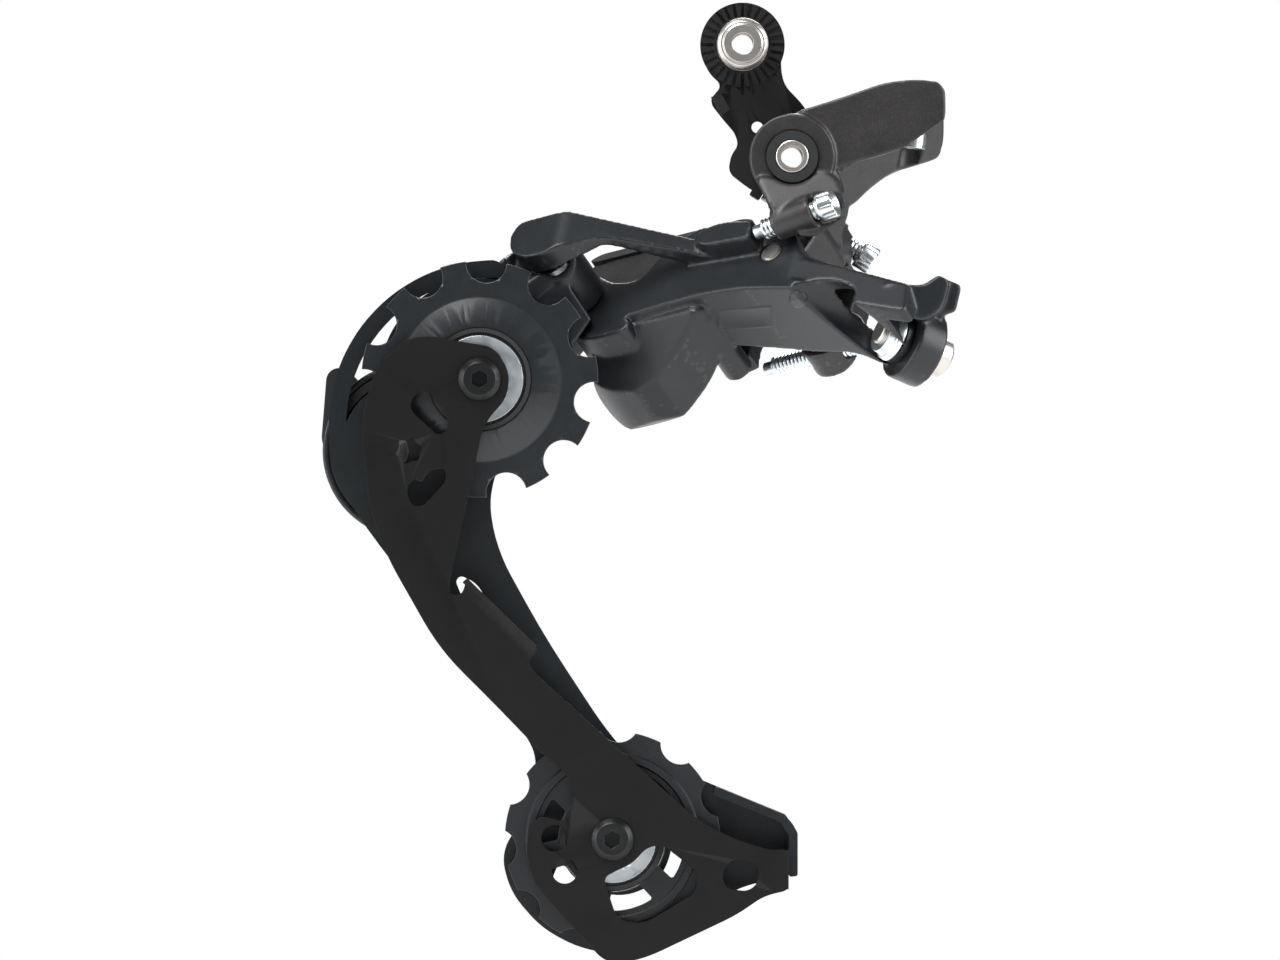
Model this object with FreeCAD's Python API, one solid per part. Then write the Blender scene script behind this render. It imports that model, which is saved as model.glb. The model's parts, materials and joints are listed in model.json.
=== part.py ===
import FreeCAD, Part
import math
import os

# A rear bicycle derailleur with a long cage, for a chain of 12.7 mm pitch.
# +X is the rear of the bicycle, +Z is up, and +Y is outboard, away from the wheel.
# The origin is on the axis of the hanger bolt, in the face that meets the frame's hanger.
# Sizes are in millimetres and angles in degrees. Every piece is drawn at rest:
# the linkage is fully outboard and the cage stands at its resting angle.

# ---------------------------------------------------------------- driving dimensions

# Clearances
RUNNING_FIT = 0.05          # radial gap of a shaft that turns in its bore
FIXED_FIT = 0.02            # radial gap of a shaft or thread that is fixed in its bore
FACE_GAP = 0.02             # gap between two faces that are clamped together
MOVING_GAP = 0.4            # gap beside a face that slides or turns past another

# Hanger bolt and the short link that carries the derailleur
HANGER_THREAD_RADIUS = 5.0
HANGER_THREAD_LENGTH = 8.0
HANGER_BOLT_BORE_RADIUS = 2.05
HANGER_HEAD_RADIUS = 7.6
HANGER_LINK_THICKNESS = 3.6
HANGER_BOSS_RADIUS = 8.2
SERRATION_COUNT = 28
SERRATION_DEPTH = 0.35
B_AXLE_X = 9.5              # B-axle, measured from the hanger bolt
B_AXLE_Z = -22.0
B_AXLE_RADIUS = 4.0
B_AXLE_BORE_RADIUS = 2.05
B_BOSS_RADIUS = 8.3
B_BOSS_LENGTH = 12.6

# Slanted linkage
PIVOT_TILT = 37.0           # the pivots lean inboard from the vertical plane by this
PIVOT_LEAN = 35.0           # and forward by this
REST_SWING = 33.0           # the links stand this far outboard of the wheel plane at rest
FULL_SWING = 64.0           # and swing inboard by this to the largest sprocket
LINK_LENGTH = 42.0
LINK_SPACING = 15.0         # between the pivots of the inner and the outer link
LINK_FROM_B_AXLE = (-0.6, -8.0, -23.6)
PIN_RADIUS = 2.1

# P-body and cage, measured from the inner link's forward pivot
P_AXLE_FROM_PIVOT = (-36.6, -24.3)
PULLEY_PLANE_FROM_PIVOT = -22.3
P_AXLE_RADIUS = 5.0
BARREL_RADIUS = 17.0
BARREL_LENGTH = 18.0
BARREL_WALL = 2.6
CAP_THICKNESS = 3.0

# Pulleys
CHAIN_PITCH = 12.7
ROLLER_RADIUS = 3.9
GUIDE_TEETH = 11
TENSION_TEETH = 11
GUIDE_TIP_RADIUS = 22.9
TENSION_TIP_RADIUS = 20.8
TOOTH_THICKNESS = 2.0
GUIDE_FROM_P_AXLE = (13.6, 13.8)
PULLEY_CENTRES = 92.4       # distance from the guide pulley to the tension pulley
CAGE_SLANT = 16.1           # angle of the line between the pulleys from the vertical
PULLEY_BOLT_RADIUS = 2.5
PULLEY_BUSH_RADIUS = 4.0

# Cage plates
CAGE_GAP = 8.8              # between the two plates
INNER_PLATE_THICKNESS = 1.2
OUTER_PLATE_THICKNESS = 2.2

# Screws
SCREW_RADIUS = 2.0
SCREW_HEAD_RADIUS = 2.8
SCREW_HEAD_HEIGHT = 3.4

# ---------------------------------------------------------------- derived places


def vector(point):
    return FreeCAD.Vector(*point)


def unit(angle):
    """The cosine and sine of an angle in degrees."""
    return math.cos(math.radians(angle)), math.sin(math.radians(angle))


cos_tilt, sin_tilt = unit(PIVOT_TILT)
cos_lean, sin_lean = unit(PIVOT_LEAN)
cos_swing, sin_swing = unit(REST_SWING)

PIVOT_AXIS = FreeCAD.Vector(-cos_tilt * sin_lean, -sin_tilt, cos_tilt * cos_lean)
FORWARD = FreeCAD.Vector(-cos_lean, 0, -sin_lean)
INWARD = PIVOT_AXIS.cross(FORWARD)
LINK_ALONG = FORWARD * cos_swing - INWARD * sin_swing
LINK_ACROSS = FORWARD * sin_swing + INWARD * cos_swing

B_AXLE = FreeCAD.Vector(B_AXLE_X, 0, B_AXLE_Z)
REAR_PIVOT = B_AXLE + vector(LINK_FROM_B_AXLE)
FRONT_PIVOT = REAR_PIVOT + LINK_ALONG * LINK_LENGTH
OUTER_REAR_PIVOT = REAR_PIVOT - INWARD * LINK_SPACING
OUTER_FRONT_PIVOT = FRONT_PIVOT - INWARD * LINK_SPACING

P_X = FRONT_PIVOT.x + P_AXLE_FROM_PIVOT[0]
P_Z = FRONT_PIVOT.z + P_AXLE_FROM_PIVOT[1]
PULLEY_Y = FRONT_PIVOT.y + PULLEY_PLANE_FROM_PIVOT
GUIDE_X = P_X + GUIDE_FROM_P_AXLE[0]
GUIDE_Z = P_Z + GUIDE_FROM_P_AXLE[1]
slant_cos, slant_sin = unit(CAGE_SLANT)
TENSION_X = GUIDE_X + PULLEY_CENTRES * slant_sin
TENSION_Z = GUIDE_Z - PULLEY_CENTRES * slant_cos

INNER_PLATE_OUTSIDE = PULLEY_Y - CAGE_GAP / 2 - INNER_PLATE_THICKNESS
INNER_PLATE_INSIDE = PULLEY_Y - CAGE_GAP / 2
OUTER_PLATE_INSIDE = PULLEY_Y + CAGE_GAP / 2
OUTER_PLATE_OUTSIDE = PULLEY_Y + CAGE_GAP / 2 + OUTER_PLATE_THICKNESS

# ---------------------------------------------------------------- drawing helpers


def frame(origin, along, across, up):
    """A placement whose local x, y and z run along the three given directions."""
    matrix = FreeCAD.Matrix(
        along.x, across.x, up.x, origin.x,
        along.y, across.y, up.y, origin.y,
        along.z, across.z, up.z, origin.z,
        0, 0, 0, 1,
    )
    return FreeCAD.Placement(matrix)


X_AXIS = FreeCAD.Vector(1, 0, 0)
Y_AXIS = FreeCAD.Vector(0, 1, 0)
Z_AXIS = FreeCAD.Vector(0, 0, 1)


def side_frame(x, z):
    """Local x is +X, local y is +Z and local z is inboard, with the origin at (x, 0, z)."""
    return frame(FreeCAD.Vector(x, 0, z), X_AXIS, Z_AXIS, -Y_AXIS)


LINK_FRAME = frame(REAR_PIVOT, LINK_ALONG, LINK_ACROSS, PIVOT_AXIS)
LINK_SIDE_FRAME = frame(REAR_PIVOT, LINK_ALONG, PIVOT_AXIS, -LINK_ACROSS)
FRONT_FRAME = frame(FRONT_PIVOT, LINK_ALONG, LINK_ACROSS, PIVOT_AXIS)
OUTER_FRAME = frame(OUTER_REAR_PIVOT, LINK_ALONG, LINK_ACROSS, PIVOT_AXIS)
LINK_END_FRAME = frame(REAR_PIVOT, LINK_ACROSS, PIVOT_AXIS, LINK_ALONG)
THROUGH = 99.0              # reach of a block or a cutter that passes right through a piece


def axis_frame(origin, direction, toward):
    """Local z runs along direction, and local x leans toward the other vector."""
    up = FreeCAD.Vector(direction).normalize()
    across = up.cross(toward).normalize()
    return frame(origin, across.cross(up), across, up)


def rounded_face(corners, softness=0.45):
    """A flat face. A corner (x, y, r) has radius r, and a corner (x, y) is as round as it fits."""
    points = [FreeCAD.Vector(corner[0], corner[1], 0) for corner in corners]
    arcs = []
    for index, corner in enumerate(corners):
        point = points[index]
        back = points[index - 1] - point
        ahead = points[(index + 1) % len(points)] - point
        room = softness * min(back.Length, ahead.Length)
        turn = math.pi - back.getAngle(ahead)
        if turn < 0.02:
            arcs.append((point, None, point))
            continue
        radius = room / math.tan(turn / 2)
        if len(corner) == 3:
            radius = min(corner[2], radius)
        if radius == 0:
            arcs.append((point, None, point))
            continue
        reach = radius * math.tan(turn / 2)
        back.normalize()
        ahead.normalize()
        inward = (back + ahead).normalize()
        middle = point + inward * (radius / math.cos(turn / 2) - radius)
        arcs.append((point + back * reach, middle, point + ahead * reach))
    edges = []
    for index, (start, middle, end) in enumerate(arcs):
        if middle is not None:
            edges.append(Part.Arc(start, middle, end).toShape())
        following = arcs[(index + 1) % len(arcs)][0]
        if end.distanceToPoint(following) > 0.001:
            edges.append(Part.LineSegment(end, following).toShape())
    return Part.Face(Part.Wire(edges))


def prism(place, corners, low, high, softness=0.45):
    """The rounded outline, extruded from low to high along the local z of the placement."""
    face = rounded_face(corners, softness)
    face.translate(FreeCAD.Vector(0, 0, low))
    solid = face.extrude(FreeCAD.Vector(0, 0, high - low))
    solid.Placement = place.multiply(solid.Placement)
    return solid


def rod(place, x, y, radius, low, high):
    """A round rod along the local z of the placement."""
    solid = Part.makeCylinder(radius, high - low, FreeCAD.Vector(x, y, low))
    solid.Placement = place.multiply(solid.Placement)
    return solid


def tube(place, x, y, outer, inner, low, high):
    margin = 1.0
    return rod(place, x, y, outer, low, high).cut(rod(place, x, y, inner, low - margin, high + margin))


def turned(place, section):
    """A solid of revolution about the local z, from (radius, z) corners."""
    points = [FreeCAD.Vector(radius, 0, height) for radius, height in section]
    face = Part.Face(Part.makePolygon(points + points[:1]))
    solid = face.revolve(FreeCAD.Vector(0, 0, 0), FreeCAD.Vector(0, 0, 1), 360)
    solid.Placement = place.multiply(solid.Placement)
    return solid


def joined(*solids):
    whole = solids[0].multiFuse(list(solids[1:])).removeSplitter()
    return whole


def side_prism(corners, inboard, outboard, softness=0.45):
    """An outline of (x, z) corners, extruded between two Y positions."""
    return prism(side_frame(0, 0), corners, -outboard, -inboard, softness)


def side_rod(x, z, radius, inboard, outboard):
    return rod(side_frame(0, 0), x, z, radius, -outboard, -inboard)


def side_tube(x, z, outer, inner, inboard, outboard):
    return tube(side_frame(0, 0), x, z, outer, inner, -outboard, -inboard)


def shifted(x, z, corners):
    """The same corners moved by (x, z)."""
    return [(corner[0] + x, corner[1] + z) + tuple(corner[2:]) for corner in corners]


def ring_of_points(x, y, radius, start, end, count):
    """Points on an arc from one angle to another."""
    points = []
    for index in range(count):
        across, up = unit(start + (end - start) * index / (count - 1))
        points.append((x + radius * across, y + radius * up))
    return points


pieces = {}

# ---------------------------------------------------------------- pulleys


def pulley_blank(teeth, tip_radius, section, place):
    """A turned pulley with a roller seat between each pair of teeth."""
    pitch_radius = CHAIN_PITCH / 2 / math.sin(math.pi / teeth)
    blank = turned(place, section)
    seats = []
    for index in range(teeth):
        across, up = unit(360.0 / teeth * (index + 0.5) + 5.0)
        seats.append(rod(place, pitch_radius * across, pitch_radius * up, ROLLER_RADIUS, -9, 9))
    return blank.cut(Part.makeCompound(seats))


def mirrored_section(half):
    """A section through the pulley's middle plane from its upper half."""
    return half + [(radius, -height) for radius, height in reversed(half)]


HUB_HALF = CAGE_GAP / 2 - 1.1
TOOTH_HALF = TOOTH_THICKNESS / 2
PULLEY_BORE = PULLEY_BUSH_RADIUS + RUNNING_FIT
SEAL_INSIDE = 9.0
SEAL_OUTSIDE = 9.9
SEAL_DEPTH = 0.8


def pulley_place(x, z):
    place = side_frame(x, z)
    place.Base = FreeCAD.Vector(x, PULLEY_Y, z)
    return place


def seal_groove(place):
    """The ring-shaped grooves in both faces that hold the rubber seal."""
    grooves = []
    for side in (-1, 1):
        low, high = sorted((side * (HUB_HALF - SEAL_DEPTH), side * (HUB_HALF + 1)))
        grooves.append(tube(place, 0, 0, SEAL_OUTSIDE, SEAL_INSIDE, low, high))
    return Part.makeCompound(grooves)


def seal_rings(place):
    """Two rubber rings that stand out of the hub and close the gap to the plates."""
    rings = []
    for side in (-1, 1):
        inner = side * (HUB_HALF - SEAL_DEPTH + FACE_GAP)
        outer = side * (CAGE_GAP / 2 - MOVING_GAP)
        low, high = sorted((inner, outer))
        rings.append(tube(place, 0, 0, SEAL_OUTSIDE - FIXED_FIT, SEAL_INSIDE + FIXED_FIT, low, high))
    return Part.makeCompound(rings)


guide_place = pulley_place(GUIDE_X, GUIDE_Z)
guide_section = mirrored_section([
    (PULLEY_BORE, HUB_HALF),
    (SEAL_OUTSIDE + 0.5, HUB_HALF),
    (15.6, 1.5),
    (16.2, 1.35),
    (GUIDE_TIP_RADIUS - 3.6, 1.35),
    (GUIDE_TIP_RADIUS - 2.9, TOOTH_HALF),
    (GUIDE_TIP_RADIUS, TOOTH_HALF),
])
guide = pulley_blank(GUIDE_TEETH, GUIDE_TIP_RADIUS, guide_section, guide_place)
pieces["guide_pulley"] = guide.cut(seal_groove(guide_place))
pieces["guide_pulley_seal"] = seal_rings(guide_place)

tension_place = pulley_place(TENSION_X, TENSION_Z)
WEB_RADIUS = SEAL_OUTSIDE + 0.2
RIM_INSIDE = 14.0
tension_section = mirrored_section([
    (PULLEY_BORE, HUB_HALF),
    (WEB_RADIUS, HUB_HALF),
    (WEB_RADIUS + 0.2, 1.4),
    (15.0, 1.4),
    (15.2, 2.0),
    (16.5, 2.0),
    (16.7, TOOTH_HALF),
    (TENSION_TIP_RADIUS, TOOTH_HALF),
])
tension = pulley_blank(TENSION_TEETH, TENSION_TIP_RADIUS, tension_section, tension_place)
windows = []
for index in range(6):
    middle = -75 + 60 * index
    window = ring_of_points(0, 0, RIM_INSIDE, middle - 19, middle + 19, 5)
    window += ring_of_points(0, 0, WEB_RADIUS + 0.4, middle + 16, middle - 16, 4)
    windows.append(prism(tension_place, window, -4, 4, 0.3))
tension = tension.cut(Part.makeCompound(windows))
pieces["tension_pulley"] = tension.cut(seal_groove(tension_place))
pieces["tension_pulley_seal"] = seal_rings(tension_place)

# ---------------------------------------------------------------- pulley bushes, caps and bolts

CAP_RADIUS = 8.4
CAP_RIM = 0.75
BOLT_HEAD_RADIUS = 4.1
BOLT_HEAD_HEIGHT = 1.7
SOCKET_ACROSS_FLATS = 3.0


def pulley_cap(place, side):
    """A dished steel dust cap between the pulley's hub and a plate."""
    plate_face = CAGE_GAP / 2 - FACE_GAP
    hub_face = HUB_HALF + MOVING_GAP - 0.1
    bore = PULLEY_BUSH_RADIUS + FIXED_FIT
    section = [
        (bore, side * plate_face),
        (5.2, side * plate_face),
        (6.4, side * (plate_face - 0.25)),
        (CAP_RADIUS - CAP_RIM, side * (plate_face - 0.25)),
        (CAP_RADIUS, side * (plate_face - 0.05)),
        (CAP_RADIUS, side * hub_face),
        (bore, side * hub_face),
    ]
    return turned(place, section)


def hexagon(place, across_flats, low, high):
    """A hexagonal prism on the local z."""
    radius = across_flats / math.sqrt(3)
    corners = [(radius * unit(60 * k + 30)[0], radius * unit(60 * k + 30)[1], 0) for k in range(6)]
    return prism(place, corners, low, high)


def pulley_bolt(place):
    """A button-head bolt from the inboard side, threaded into the outer plate."""
    seat = CAGE_GAP / 2 + INNER_PLATE_THICKNESS + FACE_GAP
    top = seat + BOLT_HEAD_HEIGHT
    head = turned(place, [
        (0, seat), (BOLT_HEAD_RADIUS, seat), (BOLT_HEAD_RADIUS, seat + 0.7),
        (BOLT_HEAD_RADIUS - 1.0, top), (0, top),
    ])
    tip = -(CAGE_GAP / 2 + OUTER_PLATE_THICKNESS) + 0.1
    shank = rod(place, 0, 0, PULLEY_BOLT_RADIUS, tip, seat + 0.2)
    return joined(head, shank).cut(hexagon(place, SOCKET_ACROSS_FLATS, top - 1.3, top + 1))


bolt_bore = PULLEY_BOLT_RADIUS + FIXED_FIT
bush_half = CAGE_GAP / 2 - FACE_GAP
for name, place in (("guide", guide_place), ("tension", tension_place)):
    pieces[name + "_pulley_bush"] = tube(place, 0, 0, PULLEY_BUSH_RADIUS, bolt_bore, -bush_half, bush_half)
    pieces[name + "_pulley_cap_inboard"] = pulley_cap(place, 1)
    pieces[name + "_pulley_cap_outboard"] = pulley_cap(place, -1)
    pieces[name + "_pulley_bolt"] = pulley_bolt(place)

# ---------------------------------------------------------------- inner cage plate


def near_guide(*corners):
    """Corners measured from the guide pulley's axis."""
    return shifted(GUIDE_X, GUIDE_Z, corners)


def near_tension(*corners):
    """Corners measured from the tension pulley's axis."""
    return shifted(TENSION_X, TENSION_Z, corners)


CAGE_BRIDGE_X = 34.0        # the plates meet this far behind the tension pulley's axis

inner_outline = near_guide(
    (5.9, 1.0), (5.2, -3.8), (0.8, -8.6), (-5.9, -39.9), (-5.5, -41.8), (-3.4, -41.5), (-2.4, -38.5),
) + near_tension(
    (-15.0, 37.4), (-14.4, 36.2), (-16.3, 34.2), (-14.7, 31.8), (16.5, 3.6),
    (24.1, -0.2), (30.8, -2.2), (CAGE_BRIDGE_X, -1.8, 1.5), (CAGE_BRIDGE_X, -9.8, 1.5), (29.2, -10.9),
    (24.1, -14.5), (6.4, -22.9), (-0.8, -24.4), (-8.8, -15.6), (-15.5, -8.2), (-16.8, -1.0),
    (-15.0, 5.0), (-9.0, 3.2), (-7.2, 6.6), (-8.6, 12.6), (-13.0, 16.0), (-23.1, 26.5), (-33.3, 36.6),
) + near_guide(
    (-18.0, -34.0), (-21.4, -24.1), (-22.9, -8.0), (-19.9, 2.7), (-14.0, 7.8), (-9.5, 8.4),
    (-2.5, 7.0), (3.0, 6.2),
)
inner_plate = side_prism(inner_outline, INNER_PLATE_OUTSIDE, INNER_PLATE_INSIDE)
tab_depth = 3.0
tab = side_prism(near_guide((-3.3, -39.2, 0), (-2.4, -38.4, 0)) + near_tension((-14.6, 37.2, 0),
                                                                               (-15.6, 36.5, 0)),
                 INNER_PLATE_OUTSIDE, INNER_PLATE_INSIDE + tab_depth)
bridge_reach = 4.2
bridge = side_prism(near_tension((CAGE_BRIDGE_X - 1.3, -2.3, 0), (CAGE_BRIDGE_X, -2.1, 0),
                                 (CAGE_BRIDGE_X, -9.6, 0), (CAGE_BRIDGE_X - 1.3, -9.8, 0)),
                    INNER_PLATE_OUTSIDE, INNER_PLATE_INSIDE + bridge_reach)
inner_plate = joined(inner_plate, tab, bridge)

window = near_tension((-1.8, -7.4), (0.9, -6.0), (3.9, -4.6), (6.6, -1.6), (9.6, -1.0), (16.6, -6.4),
                      (16.2, -10.2), (6.0, -16.4), (1.0, -15.6))
slot = near_tension((20.8, -9.4, 2.9), (27.6, -10.2, 2.9), (28.8, -4.2, 2.9), (22.0, -3.6, 2.9))
holes = [
    side_prism(near_guide((-10.4, -1.3), (-5.6, -7.7), (-7.2, -11.6), (-14.4, -5.1)), -THROUGH, THROUGH),
    side_prism(near_guide((-14.9, -20.6), (-6.9, -16.6), (-6.2, -19.4), (-12.2, -26.0)), -THROUGH, THROUGH),
    side_prism(window, -THROUGH, THROUGH),
    side_prism(slot, -THROUGH, THROUGH),
    side_rod(TENSION_X - 11.1, TENSION_Z + 0.2, 2.6, -THROUGH, THROUGH),
    side_rod(TENSION_X - 9.2, TENSION_Z - 6.1, 2.45, -THROUGH, THROUGH),
    side_rod(GUIDE_X, GUIDE_Z, bolt_bore, -THROUGH, THROUGH),
    side_rod(TENSION_X, TENSION_Z, bolt_bore, -THROUGH, THROUGH),
]
STAR_OUTSIDE = 2.9
STAR_INSIDE = 2.0
star = []
for index in range(12):
    across, up = unit(30 * index + 15)
    reach = STAR_OUTSIDE if index % 2 == 0 else STAR_INSIDE
    star.append((P_X + reach * across, P_Z + reach * up))
holes.append(side_prism(star, -THROUGH, THROUGH))
pieces["inner_cage_plate"] = inner_plate.cut(Part.makeCompound(holes))

# ---------------------------------------------------------------- outer cage plate

GUARD_X = GUIDE_X + 2.5
GUARD_Z = GUIDE_Z - 8.7
GUARD_RADIUS = 32.0
GUARD_WIDTH = 3.6

guard_band = ring_of_points(GUARD_X, GUARD_Z, GUARD_RADIUS, 87, 185, 8)
outer_outline = guard_band + near_guide(
    (-28.8, -17.7), (-23.1, -27.2), (-19.3, -32.4),
) + near_tension(
    (-17.1, 20.3), (-15.1, 16.8), (-14.5, 9.0), (-17.0, 4.0), (-21.7, -2.6), (-19.8, -10.4), (-14.0, -17.2),
    (-7.2, -21.0), (0.0, -22.6), (8.0, -20.6), (16.0, -15.0), (24.0, -9.6), (CAGE_BRIDGE_X + 1.6, -7.0),
    (CAGE_BRIDGE_X + 1.8, 1.6), (33.3, 4.6), (13.9, 12.6), (6.0, 12.6), (-1.4, 21.1),
) + near_guide(
    (12.5, -49.8), (4.6, -35.5), (2.6, -29.6), (1.8, -23.6), (3.2, -17.0), (12.0, -12.0), (18.0, -3.0),
    (18.5, 6.0), (14.0, 14.0), (6.0, 18.6),
)
outer_plate = side_prism(outer_outline, OUTER_PLATE_INSIDE, OUTER_PLATE_OUTSIDE)
guard_opening = side_rod(GUARD_X, GUARD_Z, GUARD_RADIUS - GUARD_WIDTH, -THROUGH, THROUGH)
guard_opening = guard_opening.cut(side_rod(GUIDE_X, GUIDE_Z, 19.5, -THROUGH, THROUGH))
guard_opening = guard_opening.cut(side_rod(P_X, P_Z, 13.5, -THROUGH, THROUGH))
quarter = side_prism(near_guide((-40, -4, 0), (-24, -9, 0), (6, 2, 0), (4.5, 26, 0), (-8, 40, 0),
                                (-40, 40, 0)), -THROUGH, THROUGH)
guard_opening = guard_opening.common(quarter)
long_window = side_prism(near_guide((-5.5, -37.2), (-0.2, -39.6), (1.6, -44.4)) +
                         near_tension((-17.4, 33.0), (-20.0, 31.5), (-26.5, 40.0)), -THROUGH, THROUGH)
scoop_thickness = 1.8
scoop = side_prism(near_tension((CAGE_BRIDGE_X + 0.05, -7.4, 0.5),
                                (CAGE_BRIDGE_X + scoop_thickness, -7.2, 0.5),
                                (CAGE_BRIDGE_X + scoop_thickness, 1.2, 1.5), (33.4, 4.6, 1),
                                (20.0, 10.1, 0.5), (19.4, 8.5, 0.5), (32.6, 3.2, 1),
                                (CAGE_BRIDGE_X + 0.05, 0.6, 1)),
                   PULLEY_Y - 1.0, OUTER_PLATE_OUTSIDE)
outer_plate = joined(outer_plate.cut(Part.makeCompound([guard_opening, long_window])), scoop)
threads = [
    side_rod(GUIDE_X, GUIDE_Z, bolt_bore, -THROUGH, THROUGH),
    side_rod(TENSION_X, TENSION_Z, bolt_bore, -THROUGH, THROUGH),
    side_rod(P_X, P_Z, P_AXLE_RADIUS + FIXED_FIT, -THROUGH, THROUGH),
    side_prism(near_tension((-9.5, -3.0), (-6.0, -9.5), (2.0, -11.6), (9.0, -8.6), (12.0, -1.5), (9.5, 6.0),
                            (15.5, 4.0), (17.5, -4.0), (13.5, -11.0), (4.0, -16.5), (-5.0, -16.0),
                            (-12.5, -9.5)), -THROUGH, THROUGH),
]
pieces["outer_cage_plate"] = outer_plate.cut(Part.makeCompound(threads))

# ---------------------------------------------------------------- link that hangs from the frame

LINK_FACE_STEP = 0.3        # the plate lies this far behind the serrated face
HANGER_SHOULDER_STEP = 0.1  # the bolt's plain shoulder stands this proud of its thread
B_SCREW_Y = 5.2
B_SCREW_HEAD_FROM_B = (13.2, -18.3)
B_SCREW_RISE = 32.1         # slope of the B-tension screw
B_SCREW_LENGTH = 21.8
B_SCREW_TIP_GAP = 0.12

rise_cos, rise_sin = unit(B_SCREW_RISE)
B_SCREW_DIRECTION = FreeCAD.Vector(-rise_cos, 0, rise_sin)
B_SCREW_HEAD = FreeCAD.Vector(B_AXLE_X + B_SCREW_HEAD_FROM_B[0], B_SCREW_Y, B_AXLE_Z + B_SCREW_HEAD_FROM_B[1])
B_SCREW_TIP = B_SCREW_HEAD + B_SCREW_DIRECTION * B_SCREW_LENGTH
STOP = B_SCREW_TIP + B_SCREW_DIRECTION * B_SCREW_TIP_GAP


def near_stop(along_face, into_tab):
    """A point of the tab, measured from where the B-tension screw meets it."""
    return (STOP.x + along_face * rise_sin - into_tab * rise_cos,
            STOP.z + along_face * rise_cos + into_tab * rise_sin)


def near_b(*corners):
    """Corners measured from the B-axle."""
    return shifted(B_AXLE_X, B_AXLE_Z, corners)


hanger_plate = side_prism(
    near_b((2.9, 9.7), (-1.4, 14.2)) + [(7.4, -4.2), (8.0, 2.0), (4.6, 6.9), (-2.0, 8.0), (-7.6, 4.2),
                                        (-8.2, -2.0),
                                       (-6.2, -5.8), (-3.9, -7.8)] +
    near_b((-15.6, 11.6), (-15.4, 10.3), (-13.4, 7.7), (-10.9, 4.8), (-10.3, 2.5), (-11.7, 0.6),
           (-12.3, -2.7)) +
    [near_stop(-0.8, 3.6), near_stop(-0.8, 0.6)] +
    near_b((-4.4, -4.8), (0, -6.6), (4.6, -4.8), (6.6, 0), (5.2, 4.6)),
    LINK_FACE_STEP, HANGER_LINK_THICKNESS)
hanger_boss = side_rod(0, 0, HANGER_BOSS_RADIUS, 0, HANGER_LINK_THICKNESS)
tab_corners = [near_stop(-1.8, 0), near_stop(1.7, 0), near_stop(1.7, 2.2), near_stop(-1.8, 2.2)]
stop_tab = side_prism([corner + (0.4,) for corner in tab_corners], LINK_FACE_STEP, B_SCREW_Y + 3.0)
side_tab = side_prism(near_b((-15.6, 11.8, 0), (-13.6, 8.2, 0), (-11.9, 9.4, 0), (-13.6, 12.4, 0)),
                      -3.2, HANGER_LINK_THICKNESS)
SERRATION_START = HANGER_THREAD_RADIUS + HANGER_SHOULDER_STEP + RUNNING_FIT + 0.4
serrations = []
for index in range(SERRATION_COUNT):
    groove = Part.makeBox(4.2, 0.62, 2 * SERRATION_DEPTH, FreeCAD.Vector(SERRATION_START, -0.31,
                                                                         -SERRATION_DEPTH))
    groove.rotate(FreeCAD.Vector(0, 0, 0), Z_AXIS, 360.0 / SERRATION_COUNT * index)
    groove.Placement = side_frame(0, 0).multiply(groove.Placement)
    serrations.append(groove)
link_holes = [
    side_rod(0, 0, HANGER_THREAD_RADIUS + HANGER_SHOULDER_STEP + RUNNING_FIT, -9, 9),
    side_rod(B_AXLE_X, B_AXLE_Z, B_AXLE_RADIUS + FIXED_FIT, -9, 9),
    side_rod(B_AXLE_X - 6.6, B_AXLE_Z + 6.0, 1.15, -9, 9),
]
hanger_link = joined(hanger_plate, hanger_boss, stop_tab, side_tab)
pieces["hanger_link"] = hanger_link.cut(Part.makeCompound(serrations + link_holes))

# Hollow hanger bolt: head outboard, thread inboard through the frame's hanger.
HANGER_HEAD_HEIGHT = 4.0
HANGER_SOCKET = 5.0
HANGER_RELIEF_LENGTH = 0.8
HANGER_RELIEF_DEPTH = 0.4
head_seat = HANGER_LINK_THICKNESS + FACE_GAP
bolt_place = frame(FreeCAD.Vector(0, 0, 0), X_AXIS, -Z_AXIS, Y_AXIS)
hanger_bolt = turned(bolt_place, [
    (HANGER_BOLT_BORE_RADIUS, -HANGER_THREAD_LENGTH),
    (3.7, -HANGER_THREAD_LENGTH),
    (3.9, -HANGER_THREAD_LENGTH + 0.4),
    (HANGER_THREAD_RADIUS - 0.7, -HANGER_THREAD_LENGTH + 0.4),
    (HANGER_THREAD_RADIUS, -HANGER_THREAD_LENGTH + 1.1),
    (HANGER_THREAD_RADIUS, -HANGER_RELIEF_LENGTH),
    (HANGER_THREAD_RADIUS - HANGER_RELIEF_DEPTH, -HANGER_RELIEF_LENGTH),
    (HANGER_THREAD_RADIUS - HANGER_RELIEF_DEPTH, 0.1),
    (HANGER_THREAD_RADIUS + HANGER_SHOULDER_STEP, 0.1),
    (HANGER_THREAD_RADIUS + HANGER_SHOULDER_STEP, head_seat),
    (HANGER_HEAD_RADIUS, head_seat),
    (HANGER_HEAD_RADIUS, head_seat + HANGER_HEAD_HEIGHT - 1),
    (HANGER_HEAD_RADIUS - 1, head_seat + HANGER_HEAD_HEIGHT),
    (HANGER_BOLT_BORE_RADIUS, head_seat + HANGER_HEAD_HEIGHT),
])
head_top = head_seat + HANGER_HEAD_HEIGHT
pieces["hanger_bolt"] = hanger_bolt.cut(hexagon(bolt_place, HANGER_SOCKET, head_top - 3, head_top + 1))

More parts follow.
